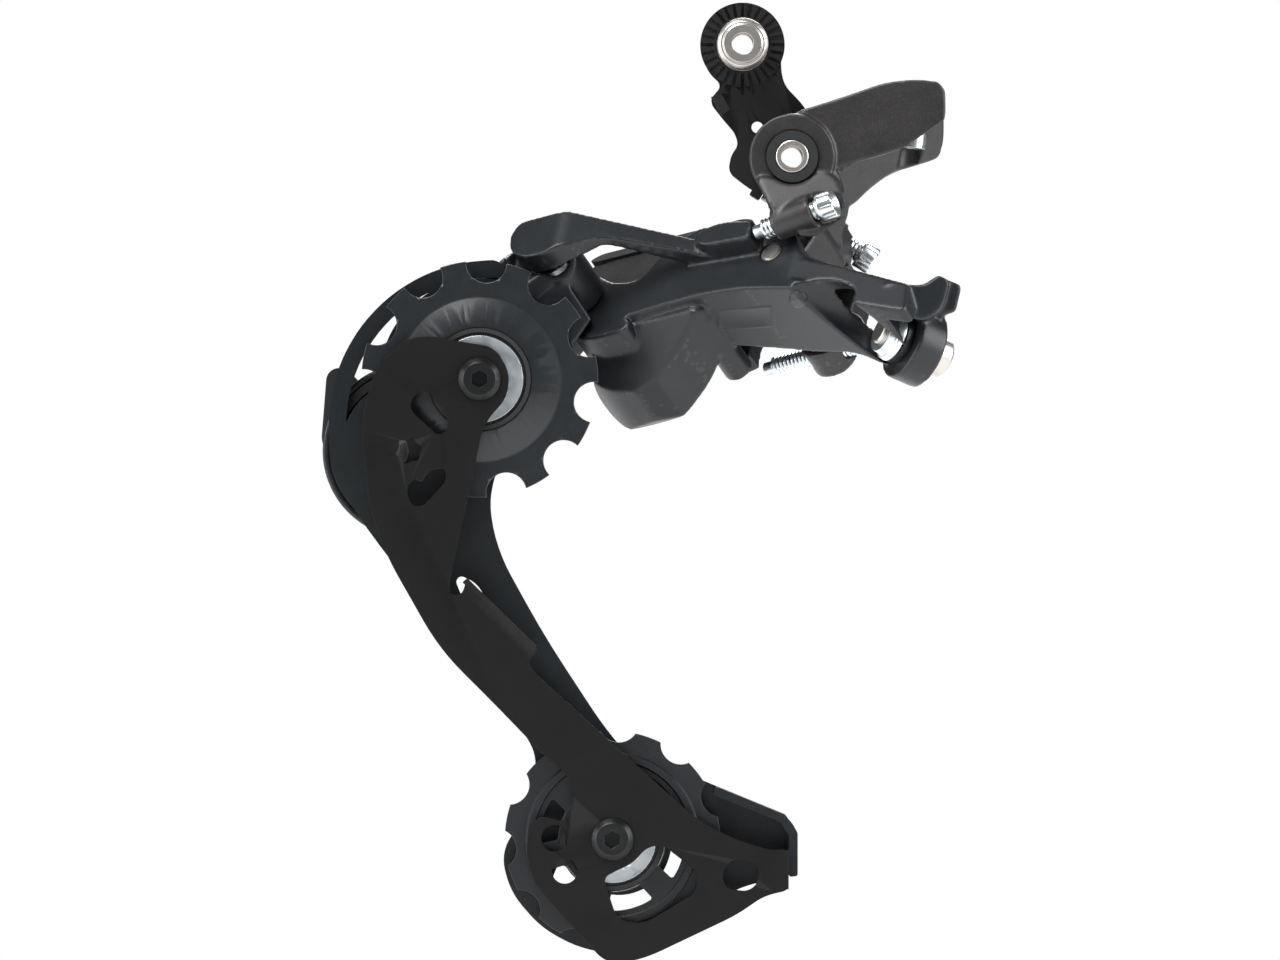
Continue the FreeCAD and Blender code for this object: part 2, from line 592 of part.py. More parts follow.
# B-axle: fixed in the short link, with the bracket's boss turning on it.
B_BOSS_OUTSIDE = -MOVING_GAP + 0.1
B_BOSS_INSIDE = B_BOSS_OUTSIDE - B_BOSS_LENGTH
b_place = frame(B_AXLE, X_AXIS, -Z_AXIS, Y_AXIS)
B_CLIP_THICKNESS = 0.8
B_CLIP_RADIUS = 5.0
axle_end = B_BOSS_INSIDE - B_CLIP_THICKNESS - 0.1
b_axle = turned(b_place, [
    (B_AXLE_BORE_RADIUS, axle_end),
    (3.0, axle_end),
    (3.3, axle_end + 0.3),
    (3.3, B_BOSS_INSIDE - FACE_GAP),
    (B_AXLE_RADIUS, B_BOSS_INSIDE - FACE_GAP),
    (B_AXLE_RADIUS, HANGER_LINK_THICKNESS),
    (B_AXLE_RADIUS + 1.6, HANGER_LINK_THICKNESS + FACE_GAP),
    (B_AXLE_RADIUS + 1.6, HANGER_LINK_THICKNESS + 1.4),
    (B_AXLE_BORE_RADIUS, HANGER_LINK_THICKNESS + 1.4),
])
pieces["b_axle"] = b_axle
pieces["b_axle_clip"] = tube(b_place, 0, 0, B_CLIP_RADIUS, 3.3 + FIXED_FIT, B_BOSS_INSIDE - B_CLIP_THICKNESS,
                             B_BOSS_INSIDE - 2 * FACE_GAP)

# ---------------------------------------------------------------- bracket

BUSH_WALL = 0.9
KNUCKLE_RADIUS = 5.5
KNUCKLE_LOW = -7.2
KNUCKLE_HIGH = 4.2
OUTER_LUG_LOW = -9.0
OUTER_LUG_HIGH = -3.6
LINK_REACH = 60.0


def sector(place, start, end, inner, outer, low, high):
    """A block that covers the plan angles from start to end between two radii."""
    corners = [(x, y, 0) for x, y in ring_of_points(0, 0, outer, start, end, 9)]
    if inner > 0:
        corners += [(x, y, 0) for x, y in ring_of_points(0, 0, inner, end, start, 9)]
    else:
        corners.append((0, 0, 0))
    return prism(place, corners, low, high)


def screw(head_seat, direction, length, tip_radius=1.35):
    """A fluted, cross-recessed adjusting screw with a dog point. Local z runs to the tip."""
    place = axis_frame(head_seat, direction, Y_AXIS)
    body = turned(place, [
        (0, -SCREW_HEAD_HEIGHT),
        (SCREW_HEAD_RADIUS - 0.3, -SCREW_HEAD_HEIGHT),
        (SCREW_HEAD_RADIUS, -SCREW_HEAD_HEIGHT + 0.3),
        (SCREW_HEAD_RADIUS, 0),
        (SCREW_RADIUS, 0),
        (SCREW_RADIUS, length - 2.2),
        (tip_radius, length - 1.7),
        (tip_radius, length),
        (0, length),
    ])
    cuts = []
    for index in range(8):
        across, up = unit(45 * index + 22.5)
        flute = rod(place, (SCREW_HEAD_RADIUS + 0.25) * across, (SCREW_HEAD_RADIUS + 0.25) * up, 0.55,
                    -SCREW_HEAD_HEIGHT - 1, -0.7)
        cuts.append(flute)
    for angle in (0, 90):
        bar = Part.makeBox(3.4, 0.8, 2.4, FreeCAD.Vector(-1.7, -0.4, -SCREW_HEAD_HEIGHT - 0.6))
        bar.rotate(FreeCAD.Vector(0, 0, 0), Z_AXIS, angle + 20)
        bar.Placement = place.multiply(bar.Placement)
        cuts.append(bar)
    return body.cut(Part.makeCompound(cuts))


def link_point(along, across, up):
    """A point given in the linkage's own directions from the rear pivot."""
    return REAR_PIVOT + LINK_ALONG * along + LINK_ACROSS * across + PIVOT_AXIS * up


HIGH_SCREW_UP = 11.7
HIGH_SCREW_TIP = link_point(1.8, -2.1, HIGH_SCREW_UP)
HIGH_SCREW_LENGTH = 14.0
HIGH_SCREW_DIRECTION = (LINK_ALONG * 0.985 + LINK_ACROSS * 0.17).normalize()
HIGH_SCREW_HEAD = HIGH_SCREW_TIP - HIGH_SCREW_DIRECTION * HIGH_SCREW_LENGTH
LOW_SCREW_UP = -16.4
LOW_SCREW_TIP = link_point(12.6, 5.6, LOW_SCREW_UP)
LOW_SCREW_LENGTH = 20.0
LOW_SCREW_DIRECTION = (LINK_ALONG * 0.999 + LINK_ACROSS * 0.045).normalize()
LOW_SCREW_HEAD = LOW_SCREW_TIP - LOW_SCREW_DIRECTION * LOW_SCREW_LENGTH
pieces["b_tension_screw"] = screw(B_SCREW_HEAD, B_SCREW_DIRECTION, B_SCREW_LENGTH)
pieces["high_limit_screw"] = screw(HIGH_SCREW_HEAD, HIGH_SCREW_DIRECTION, HIGH_SCREW_LENGTH)
pieces["low_limit_screw"] = screw(LOW_SCREW_HEAD, LOW_SCREW_DIRECTION, LOW_SCREW_LENGTH)

b_boss = side_rod(B_AXLE_X, B_AXLE_Z, B_BOSS_RADIUS, B_BOSS_INSIDE, B_BOSS_OUTSIDE)
arm_end = [(18.2, 14.5), (24.0, 15.0), (28.2, 14.6, 1.5), (29.6, 12.8, 1.5), (29.8, 3.7, 1.5),
           (29.0, 0.2, 1.5),
           (26.0, -0.8), (19.3, -2.8), (14.8, -6.2), (11.4, -9.8)]
arm_front = side_prism(near_b((0.5, 8.2), (1.6, 9.0), (9.6, 11.5), *arm_end, (4.0, -9.5), (4.0, -4.0)),
                       B_BOSS_INSIDE + 1.2, B_BOSS_OUTSIDE)
arm_cut_far = side_prism(near_b((8.5, -2.2, 0), (18.2, 0.5), (26.3, 3.1), (32.0, 8.0, 0), (32.0, -20.0, 0),
                                (8.5, -20.0, 0)), B_BOSS_INSIDE - 5, B_BOSS_INSIDE + 5.5)
arm_back = side_prism(near_b((13.0, 12.7), *arm_end, (11.0, -4.0)), B_BOSS_OUTSIDE - 1, 7.5)
neck = side_prism(near_b((-7.4, -3.8, 2), (-4.7, -8.6), (-3.2, -13.0), (-1.2, -16.1), (2.0, -18.0),
                         (5.0, -25.0),
                         (9.0, -26.0), (9.4, -20.0), (9.9, -14.0), (11.4, -9.8), (8.0, 0)),
                         B_BOSS_INSIDE + 0.8, 3.5)
neck_clear = side_prism(near_b((-20, -26, 0), (-3.0, -11.0, 0), (7.6, -8.4, 0), (8.6, 20, 0), (-20, 20, 0)),
                        B_BOSS_OUTSIDE, 20)
b_screw_boss_start = B_SCREW_HEAD + B_SCREW_DIRECTION * 4.4
b_screw_place = axis_frame(b_screw_boss_start, B_SCREW_DIRECTION, Y_AXIS)
b_screw_boss = rod(b_screw_place, 0, 0, 3.6, 0, 6.0)
screw_a_place = axis_frame(HIGH_SCREW_HEAD, HIGH_SCREW_DIRECTION, Y_AXIS)
screw_a_boss = rod(screw_a_place, 0, 0, 3.2, 1.2, 9.5)
pocket_block = side_prism(near_b((-7.4, -3.4), (-5.7, -7.2), (-3.6, -11.0), (-2.4, -13.4), (-1.6, -15.3),
                                 (2.6, -15.6), (9.4, -16.0), (10.8, -10.0), (8.2, -2.0), (0.0, -5.0)),
                          B_BOSS_INSIDE - 4.6, B_BOSS_INSIDE + 4)
pocket_slope = prism(frame(B_AXLE, Y_AXIS, Z_AXIS, X_AXIS), [
    (B_BOSS_INSIDE + 5, 0, 0), (B_BOSS_INSIDE, -2.5, 0), (B_BOSS_INSIDE - 4.6, -10.5),
    (B_BOSS_INSIDE - 4.8, -17, 0),
    (B_BOSS_INSIDE + 5, -17, 0)], -THROUGH, THROUGH)
pocket_block = pocket_block.common(pocket_slope)

inner_sweep = [
    sector(LINK_FRAME, -62, 233, KNUCKLE_RADIUS + 0.1, LINK_REACH, -30, 8.4),
    rod(LINK_FRAME, 0, 0, KNUCKLE_RADIUS + 2.0, KNUCKLE_HIGH, 14.6),
    rod(LINK_FRAME, 0, 0, KNUCKLE_RADIUS + 2.0, -30, KNUCKLE_LOW),
    sector(OUTER_FRAME, -60, 72, 0, LINK_REACH, OUTER_LUG_LOW - 3.9, OUTER_LUG_HIGH + 4),
    rod(OUTER_FRAME, 0, 0, KNUCKLE_RADIUS + 1.2, OUTER_LUG_LOW - 3.9, OUTER_LUG_LOW),
    rod(OUTER_FRAME, 0, 0, KNUCKLE_RADIUS + 1.2, OUTER_LUG_HIGH, OUTER_LUG_HIGH + 4),
]
casting = joined(b_boss, arm_front.cut(arm_cut_far), arm_back, neck.cut(neck_clear), pocket_block,
                 b_screw_boss)
for block in inner_sweep:
    casting = casting.cut(block)
knuckle = joined(
    rod(LINK_FRAME, 0, 0, KNUCKLE_RADIUS, KNUCKLE_LOW, KNUCKLE_HIGH),
    prism(LINK_FRAME, [(-4.6, -1.5, 0), (4.6, -1.5, 0), (3.0, -9.6, 2), (-9.0, -11.0, 2)], KNUCKLE_LOW,
          KNUCKLE_HIGH),
)
outer_along = (OUTER_REAR_PIVOT - REAR_PIVOT).dot(LINK_ALONG)
outer_across = (OUTER_REAR_PIVOT - REAR_PIVOT).dot(LINK_ACROSS)
outer_lug = joined(
    rod(OUTER_FRAME, 0, 0, KNUCKLE_RADIUS, OUTER_LUG_LOW, OUTER_LUG_HIGH),
    prism(LINK_FRAME, [(outer_along, outer_across + 4.6, 0), (outer_along, outer_across - 4.6, 0),
                       (-7.6, outer_across - 4.0, 0), (-7.6, outer_across + 3.0, 0)],
          OUTER_LUG_LOW, OUTER_LUG_HIGH),
)
low_lug = joined(
    prism(LINK_FRAME, [(1.4, -13.5), (3.4, 8.8), (-5.6, 8.8), (-7.6, -13.5)], LOW_SCREW_UP - 3.2,
          LOW_SCREW_UP + 3.2),
    prism(LINK_FRAME, [(0.4, -8.8, 1), (-5.4, -8.8, 1), (-7.6, -13.5, 2), (1.2, -13.5, 2)],
          LOW_SCREW_UP - 3.2, KNUCKLE_HIGH),
)
casting = joined(casting, knuckle, outer_lug, low_lug, screw_a_boss)

# The cable enters the arm's rear end from above and leaves at its underside.
CABLE_BORE_RADIUS = 2.6
CABLE_EXIT = FreeCAD.Vector(B_AXLE_X + 23.4, 2.6, B_AXLE_Z + 1.8)
CABLE_DIRECTION = FreeCAD.Vector(0.12, 0.05, 0.99).normalize()
FERRULE_LENGTH = 3.4
cable_place = axis_frame(CABLE_EXIT, CABLE_DIRECTION, Y_AXIS)
screw_hole = SCREW_RADIUS + FIXED_FIT
pin_hole = PIN_RADIUS + FIXED_FIT
b_screw_line = axis_frame(B_SCREW_HEAD, B_SCREW_DIRECTION, Y_AXIS)
low_screw_line = axis_frame(LOW_SCREW_HEAD, LOW_SCREW_DIRECTION, Y_AXIS)
bracket_cuts = [
    rod(b_place, 0, 0, B_CLIP_RADIUS + MOVING_GAP, -THROUGH, B_BOSS_INSIDE),
    rod(b_place, 0, 0, B_AXLE_RADIUS + RUNNING_FIT + BUSH_WALL + FIXED_FIT, -30, 30),
    rod(b_screw_line, 0, 0, screw_hole, 0, 60),
    rod(b_screw_line, 0, 0, SCREW_HEAD_RADIUS + 0.6, -9, 0.3),
    rod(screw_a_place, 0, 0, screw_hole, 0, 16),
    rod(screw_a_place, 0, 0, SCREW_HEAD_RADIUS + 0.5, -9, 1.1),
    rod(low_screw_line, 0, 0, screw_hole, 0, 30),
    rod(low_screw_line, 0, 0, SCREW_HEAD_RADIUS + 0.6, -9, 0.3),
    rod(LINK_FRAME, 0, 0, pin_hole, -11.9, 30),
    rod(OUTER_FRAME, 0, 0, pin_hole, -12.8, 3),
    rod(cable_place, 0, 0, 1.2, -10, 30),
    rod(cable_place, 0, 0, CABLE_BORE_RADIUS, -10, FERRULE_LENGTH),
    rod(cable_place, 0, 0, CABLE_BORE_RADIUS, FERRULE_LENGTH + 1.2, 30),
]
pieces["bracket"] = casting.cut(Part.makeCompound(bracket_cuts))
pieces["b_axle_bush"] = tube(b_place, 0, 0, B_AXLE_RADIUS + RUNNING_FIT + BUSH_WALL, B_AXLE_RADIUS + RUNNING_FIT,
                             B_BOSS_INSIDE + 0.05, B_BOSS_OUTSIDE - 0.05)
pieces["cable_ferrule"] = tube(cable_place, 0, 0, CABLE_BORE_RADIUS - FIXED_FIT, 1.25, 0.2, FERRULE_LENGTH - FACE_GAP)

# ---------------------------------------------------------------- inner link

TOP_FLANGE_HIGH = 8.0
TOP_FLANGE_LOW = 4.6
BOTTOM_FLANGE_HIGH = -7.6
BOTTOM_FLANGE_LOW = -11.0
LINK_EYE_RADIUS = 6.4
WEB_THICKNESS = 2.4
FRONT = LINK_LENGTH


def with_web(points, thickness):
    """A strip of the given thickness on the outboard side of a line of (along, across) points."""
    return points + [(x, y - thickness) for x, y in reversed(points)]


crease = [(FRONT + 3.5, 5.2), (FRONT - 4.8, 8.3), (FRONT - 10.7, 8.2), (FRONT - 18.8, 7.4), (13.4, 7.2),
          (5.3, 8.2), (0.1, 9.6), (-9.0, 12.4), (-20.0, 16.4)]
top_flange = prism(LINK_FRAME, [(FRONT + LINK_EYE_RADIUS, 0)] + crease +
                   [(-27.5, 17.0), (-26.0, 10.4), (-14.0, 4.6), (-6.6, 2.2), (-5.2, -4.2),
                    (0.0, -LINK_EYE_RADIUS),
                    (5.0, -5.6), (11.5, -9.2), (16.2, -12.4), (21.0, -10.6), (25.5, -7.0), (FRONT - 13, -1.0),
                    (FRONT - 6.5, -2.5), (FRONT - 3, -5.8), (FRONT + 3, -5.8)], TOP_FLANGE_LOW,
                    TOP_FLANGE_HIGH)
web = prism(LINK_FRAME, with_web(crease[1:], WEB_THICKNESS), -18.0, TOP_FLANGE_HIGH)
web_side = prism(LINK_SIDE_FRAME, [(FRONT + 3, 9), (FRONT + 3, -6), (FRONT - 16, -5), (16.0, -6.5),
                                   (9.0, -9.0),
                                   (0.0, -11.0), (-12.0, -11.2), (-17.0, -15.0), (-24.0, -12.0), (-24.0, 1.6),
                                   (-14.0, 5.0), (-5.0, 9)], -THROUGH, THROUGH)
bottom_flange = prism(LINK_FRAME, [(9.0, 5.2), (0.1, 8.7), (-9.0, 12.2), (-16.0, 14.0), (-13.0, 6.0),
                                   (-6.6, 2.4),
                                   (-5.2, -4.2), (0.0, -LINK_EYE_RADIUS), (5.4, -4.4), (9.0, 1.0)],
                      BOTTOM_FLANGE_LOW, BOTTOM_FLANGE_HIGH)
flange_side = prism(LINK_SIDE_FRAME, [(FRONT + 9, 9), (FRONT + 9, 0), (-12, 0, 0), (-28.0, -8.0),
                                      (-28.0, -4.0),
                                      (-12.0, 5.4), (-3.0, 9)], -THROUGH, THROUGH)

FINGER_LOW = 21.4
FINGER_HIGH = 26.4
finger = prism(LINK_FRAME, [(FRONT + 6.4, -2.6), (FRONT + 4.7, -5.4), (FRONT - 4, -5.6), (24.0, -5.5),
                            (8.0, -5.4),
                            (4.0, -5.0), (4.0, -1.6), (13.0, -1.2), (17.0, -1.8), (FRONT - 11.6, -0.7),
                            (FRONT - 8.3, 2.4), (FRONT - 2.6, 5.4), (FRONT + 2.5, 5.0), (FRONT + 6.0, 1.6)],
                            0, 30)
finger_side = prism(LINK_SIDE_FRAME, [(FRONT + 10, FINGER_HIGH), (FRONT - 5.3, FINGER_HIGH, 5),
                                      (13.7, 9.6, 8),
                                      (3.0, 8.6), (3.0, 5.0), (15.0, 5.4), (FRONT - 11, FINGER_LOW - 1.6, 6),
                                      (FRONT - 6, FINGER_LOW), (FRONT + 10, FINGER_LOW)], -THROUGH, THROUGH)
nose = prism(LINK_FRAME, [(2.4, -0.2, 0.6), (2.0, -4.4, 0.6), (7.0, -6.2), (12.0, -6.4), (16.0, -4.0),
                          (13.0, -1.2)],
             TOP_FLANGE_LOW + 1, HIGH_SCREW_UP + 1.2)

# The bulge below the web is faceted: it is what three outlines, seen along three directions, have in common.
BULGE_BACK = 7.0
BULGE_FRONT = 16.8
bulge_low = [(FRONT - 3.6, 6.0), (FRONT - 1.6, 1.0), (FRONT + 1.0, -4.5), (FRONT + 2.2, -9.6),
             (FRONT + 0.6, -14.6),
             (FRONT - 6.2, -15.6), (FRONT - 13.8, -14.6), (FRONT - 19.6, -11.6), (FRONT - 23.2, -9.0),
             (FRONT - 26.4, -5.3), (FRONT - 28.0, 0.0), (FRONT - 27.0, 6.0)]
bulge_plan = [(14.0, BULGE_BACK), (16.5, 9.4), (20.0, 11.8), (FRONT - 14, 16.0, 1.5),
              (FRONT - 9.0, BULGE_FRONT, 4),
              (FRONT - 2.4, 15.8), (FRONT + 2.6, 11.6), (FRONT + 2.0, BULGE_BACK)]
bulge_section = [(BULGE_BACK, 7.4, 0), (8.3, 6.6, 1), (BULGE_FRONT + 0.5, -4.5, 3),
                 (BULGE_FRONT + 0.5, -12.0, 3),
                 (13.5, -17.0, 2), (BULGE_BACK, -17.0, 0)]
bulge = prism(LINK_SIDE_FRAME, bulge_low, -THROUGH, THROUGH)
bulge = bulge.common(prism(LINK_FRAME, bulge_plan, -THROUGH, THROUGH))
bulge = bulge.common(prism(LINK_END_FRAME, bulge_section, -THROUGH, THROUGH))
pin_boss = rod(LINK_FRAME, FRONT, 0, 5.2, -8.4, TOP_FLANGE_HIGH)
pin_web = prism(LINK_FRAME, [(FRONT + 4.6, 0, 0), (FRONT + 1.5, 8.0), (FRONT - 3.0, 12.0), (FRONT - 14, 12.0),
                             (FRONT - 10, 6.0), (FRONT - 4.6, 0, 0)], -7.0, TOP_FLANGE_HIGH)

# The low-limit stop hangs below the link, where the screw's tip meets it at full swing.
STOP_RADIUS = 3.4
STOP_TOP = -13.4
STOP_BOTTOM = LOW_SCREW_UP - 1.6
tip_offset = LOW_SCREW_TIP - REAR_PIVOT
tip_reach = math.hypot(tip_offset.dot(LINK_ALONG), tip_offset.dot(LINK_ACROSS))
tip_angle = math.degrees(math.atan2(tip_offset.dot(LINK_ACROSS), tip_offset.dot(LINK_ALONG)))
met_cos, met_sin = unit(tip_angle - FULL_SWING)
push_cos, push_sin = unit(2.6 - FULL_SWING)
STOP_TIP_GAP = 0.15
stop_place = (tip_reach * met_cos + (STOP_RADIUS + STOP_TIP_GAP) * push_cos,
              tip_reach * met_sin + (STOP_RADIUS + STOP_TIP_GAP) * push_sin)
STOP_RING_INSIDE = tip_reach + 1.6
STOP_RING_OUTSIDE = tip_reach + 4.6
STOP_POST_RADIUS = 2.9
STOP_POST_REACH = tip_reach + 4.5
post_cos, post_sin = unit(20.0)
stop_lug = joined(
    rod(LINK_FRAME, *stop_place, STOP_RADIUS, STOP_BOTTOM, STOP_TOP),
    sector(LINK_FRAME, -46, 12, STOP_RING_INSIDE, STOP_RING_OUTSIDE, STOP_BOTTOM, STOP_TOP),
    rod(LINK_FRAME, STOP_POST_REACH * post_cos, STOP_POST_REACH * post_sin, STOP_POST_RADIUS,
        STOP_TOP - 1.0, 2),
)

# The cable clamp stands at the end of the tail.
CLAMP_CENTRE = FreeCAD.Vector(B_AXLE_X + 18.2, -20.0, B_AXLE_Z - 34.4)
CLAMP_DIRECTION = FreeCAD.Vector(0.84, 0.40, -0.36).normalize()
CLAMP_BOLT_RADIUS = 2.5
clamp_place = axis_frame(CLAMP_CENTRE, CLAMP_DIRECTION, Z_AXIS)
CRADLE_START = 3.6
CRADLE_END = 9.4
cradle = rod(clamp_place, 0, 0, 7.4, CRADLE_START, CRADLE_END)
horn = joined(
    side_prism(near_b((22.0, -24.8), (25.0, -25.0), (27.9, -23.1, 0.8), (32.6, -25.0, 1), (31.4, -30.1, 0.8),
                      (29.0, -30.8, 1), (28.6, -34.0), (25.5, -35.0), (23.0, -29.0)), -20.5, -14.0),
    side_prism(near_b((17.0, -24.4), (25.0, -25.2), (27.9, -23.1, 0.8), (30.2, -24.2), (28.6, -30.0),
                      (24.5, -32.5),
                      (18.0, -28.0)), -28.0, -16.0),
)
tail_web = prism(LINK_FRAME, [(-6.0, 11.0), (-20.0, 16.4), (-29.0, 18.4), (-29.0, 12.5), (-19.0, 10.0),
                              (-8.0, 8.0)],
                 -14.0, 3.0)
tail_web = tail_web.common(web_side)
tail_flange = prism(LINK_FRAME, [(-6.0, 11.2, 0), (-9.0, 12.4), (-20.0, 16.4), (-29.0, 18.4, 1),
                                 (-28.5, 11.0, 1),
                                 (-14.0, 5.4), (-6.0, 3.0, 0)], -THROUGH, THROUGH)
tail_flange = tail_flange.common(prism(LINK_SIDE_FRAME, [(-5.0, 8.0, 0), (-12.0, 6.2), (-30.0, 0.8),
                                                         (-30.0, -3.2),
                                                         (-12.0, 2.4), (-5.0, 4.6, 0)], -THROUGH, THROUGH))

inner = joined(
    top_flange.common(flange_side), web.common(web_side), bottom_flange, finger.common(finger_side), nose,
    bulge, pin_boss, pin_web, stop_lug, cradle, horn, tail_web, tail_flange,
)
bracket_swing = [
    rod(LINK_FRAME, 0, 0, KNUCKLE_RADIUS + 1.3, BOTTOM_FLANGE_HIGH, TOP_FLANGE_LOW),
    sector(LINK_FRAME, 150, 298, 0, 10.0, -30, TOP_FLANGE_LOW).cut(
        rod(LINK_FRAME, 0, 0, KNUCKLE_RADIUS + 1.6, BOTTOM_FLANGE_LOW, BOTTOM_FLANGE_HIGH)),
    sector(LINK_FRAME, 162, 298, 9.0, 15.0, -30, TOP_FLANGE_LOW),
    sector(LINK_FRAME, 170.5, 298, 14.0, 26.0, -30, TOP_FLANGE_LOW),
    rod(LINK_FRAME, 0, 0, 10.2, -40, BOTTOM_FLANGE_LOW),
    sector(LINK_FRAME, 130, 240, 0, 14.0, -40, BOTTOM_FLANGE_LOW),
    rod(LINK_FRAME, FRONT, 0, KNUCKLE_RADIUS + 1.2, TOP_FLANGE_HIGH, FINGER_LOW),
]
for block in bracket_swing:
    inner = inner.cut(block)
clamp_holes = [
    rod(clamp_place, 0, 0, CLAMP_BOLT_RADIUS + FIXED_FIT, -20, 40),
    rod(clamp_place, 0, 0, 5.6, -20, CRADLE_START),
    rod(clamp_place, 0, 0, 4.6, CRADLE_END, 30),
]
pin_recess = rod(LINK_FRAME, FRONT, 0, 3.4, -12, -7.4)
inner_holes = clamp_holes + [
    pin_recess,
    rod(LINK_FRAME, 0, 0, PIN_RADIUS + RUNNING_FIT, -40, 30),
    rod(LINK_FRAME, FRONT, 0, PIN_RADIUS + FIXED_FIT, -THROUGH, FINGER_HIGH - 2.0),
    rod(screw_a_place, 0, 0, 3.4, -10, HIGH_SCREW_LENGTH + B_SCREW_TIP_GAP),
]
pieces["inner_link"] = inner.cut(Part.makeCompound(inner_holes))

# Cable clamp: a dished flange nut, a keyed plate and a bolt whose head stands at the rear.
clamp_nut = turned(clamp_place, [
    (CLAMP_BOLT_RADIUS + FIXED_FIT, -1.2), (3.9, -1.2), (4.2, 0.2), (4.7, 0.6), (4.9, 1.6), (4.4, 2.0),
    (CLAMP_BOLT_RADIUS + FIXED_FIT, 2.0),
])
pieces["cable_clamp_nut"] = clamp_nut
clamp_plate = prism(clamp_place, [(-5.2, -4.4), (3.8, -5.2), (5.4, 3.6), (-3.6, 5.4)], 2.04,
                    CRADLE_START - 0.04)
pieces["cable_clamp_plate"] = clamp_plate.cut(rod(clamp_place, 0, 0, CLAMP_BOLT_RADIUS + FIXED_FIT, 0, 9))
clamp_bolt = turned(clamp_place, [
    (0, -2.0), (CLAMP_BOLT_RADIUS - 0.4, -2.0), (CLAMP_BOLT_RADIUS, -1.6),
    (CLAMP_BOLT_RADIUS, CRADLE_END + FACE_GAP),
    (3.9, CRADLE_END + FACE_GAP), (3.9, CRADLE_END + 3.4), (3.4, CRADLE_END + 3.9), (0, CRADLE_END + 3.9),
])
pieces["cable_clamp_bolt"] = clamp_bolt.cut(hexagon(clamp_place, 3.0, CRADLE_END + 1.4, CRADLE_END + 6))

# ---------------------------------------------------------------- pins of the linkage


def pivot_pin(place, x, y, low, high):
    """A headed pin with a riveted end."""
    return joined(rod(place, x, y, PIN_RADIUS, low, high), rod(place, x, y, PIN_RADIUS - 0.4, low - 0.3,
                                                               high + 0.3))


pieces["inner_rear_pin"] = pivot_pin(LINK_FRAME, 0, 0, BOTTOM_FLANGE_LOW + 0.2, TOP_FLANGE_HIGH - 0.3)
pieces["inner_front_pin"] = pivot_pin(LINK_FRAME, FRONT, 0, -7.3, FINGER_HIGH - 2.6)

# ---------------------------------------------------------------- outer link

OUTER_LOW_FLANGE = (OUTER_LUG_LOW - 3.3, OUTER_LUG_LOW - 0.35)
OUTER_HIGH_FLANGE = (OUTER_LUG_HIGH + 0.35, OUTER_LUG_HIGH + 3.3)
OUTER_EYE_RADIUS = 5.2
outer_plan = [(FRONT + OUTER_EYE_RADIUS, 1.0), (FRONT + 3, 4.6), (FRONT - 3, 4.6), (FRONT - 9, 2.0),
              (10, 2.0),
              (4, 4.6), (-2, 4.6), (-OUTER_EYE_RADIUS, 0), (-2.5, -4.6), (6, -6.0), (FRONT - 6, -6.0),
              (FRONT + 3.0, -4.6)]
outer_link = joined(
    prism(OUTER_FRAME, outer_plan, *OUTER_LOW_FLANGE),
    prism(OUTER_FRAME, outer_plan, *OUTER_HIGH_FLANGE),
    prism(OUTER_FRAME, [(7.0, -6.0, 0.5), (FRONT - 7.0, -6.0, 0.5), (FRONT - 8.5, -3.8, 0.5),
                        (8.5, -3.8, 0.5)],
          OUTER_LOW_FLANGE[0], OUTER_HIGH_FLANGE[1]),
)
outer_pin_holes = [rod(OUTER_FRAME, x, 0, PIN_RADIUS + RUNNING_FIT, -40, 30) for x in (0, FRONT)]
pieces["outer_link"] = outer_link.cut(Part.makeCompound(outer_pin_holes))
cover = prism(OUTER_FRAME, [(2.0, -6.3), (5.0, -7.8), (FRONT - 5.0, -7.8), (FRONT - 2.0, -6.3),
                            (FRONT - 5, -6.04, 0.2),
                            (5, -6.04, 0.2)], OUTER_LOW_FLANGE[0] - 1, OUTER_HIGH_FLANGE[1] + 0.5)
pieces["outer_link_cover"] = cover
pieces["outer_rear_pin"] = pivot_pin(OUTER_FRAME, 0, 0, OUTER_LOW_FLANGE[0] + 0.4, OUTER_HIGH_FLANGE[1] - 0.4)
pieces["outer_front_pin"] = pivot_pin(OUTER_FRAME, FRONT, 0, OUTER_LOW_FLANGE[0] + 0.4, OUTER_HIGH_FLANGE[1] - 0.4)

# ---------------------------------------------------------------- P-body

SEAL_STAND_OUT = 0.25
BARREL_FACE = OUTER_PLATE_OUTSIDE + 0.5
BARREL_END = BARREL_FACE + BARREL_LENGTH
BARREL_FLOOR = 4.0
P_BUSH_WALL = 1.1
CAGE_STOP_RADIUS = 1.6
CAGE_STOP_REACH = BARREL_RADIUS + 2.6
CAGE_STOP_ANGLE = -75.0

OUTER_FRONT_FRAME = frame(OUTER_FRONT_PIVOT, LINK_ALONG, LINK_ACROSS, PIVOT_AXIS)


def near_p(*corners):
    """Corners measured from the P-axle."""
    return shifted(P_X, P_Z, corners)


def near_front(*corners):
    """Corners measured from the inner link's forward pivot."""
    return shifted(FRONT_PIVOT.x, FRONT_PIVOT.z, corners)


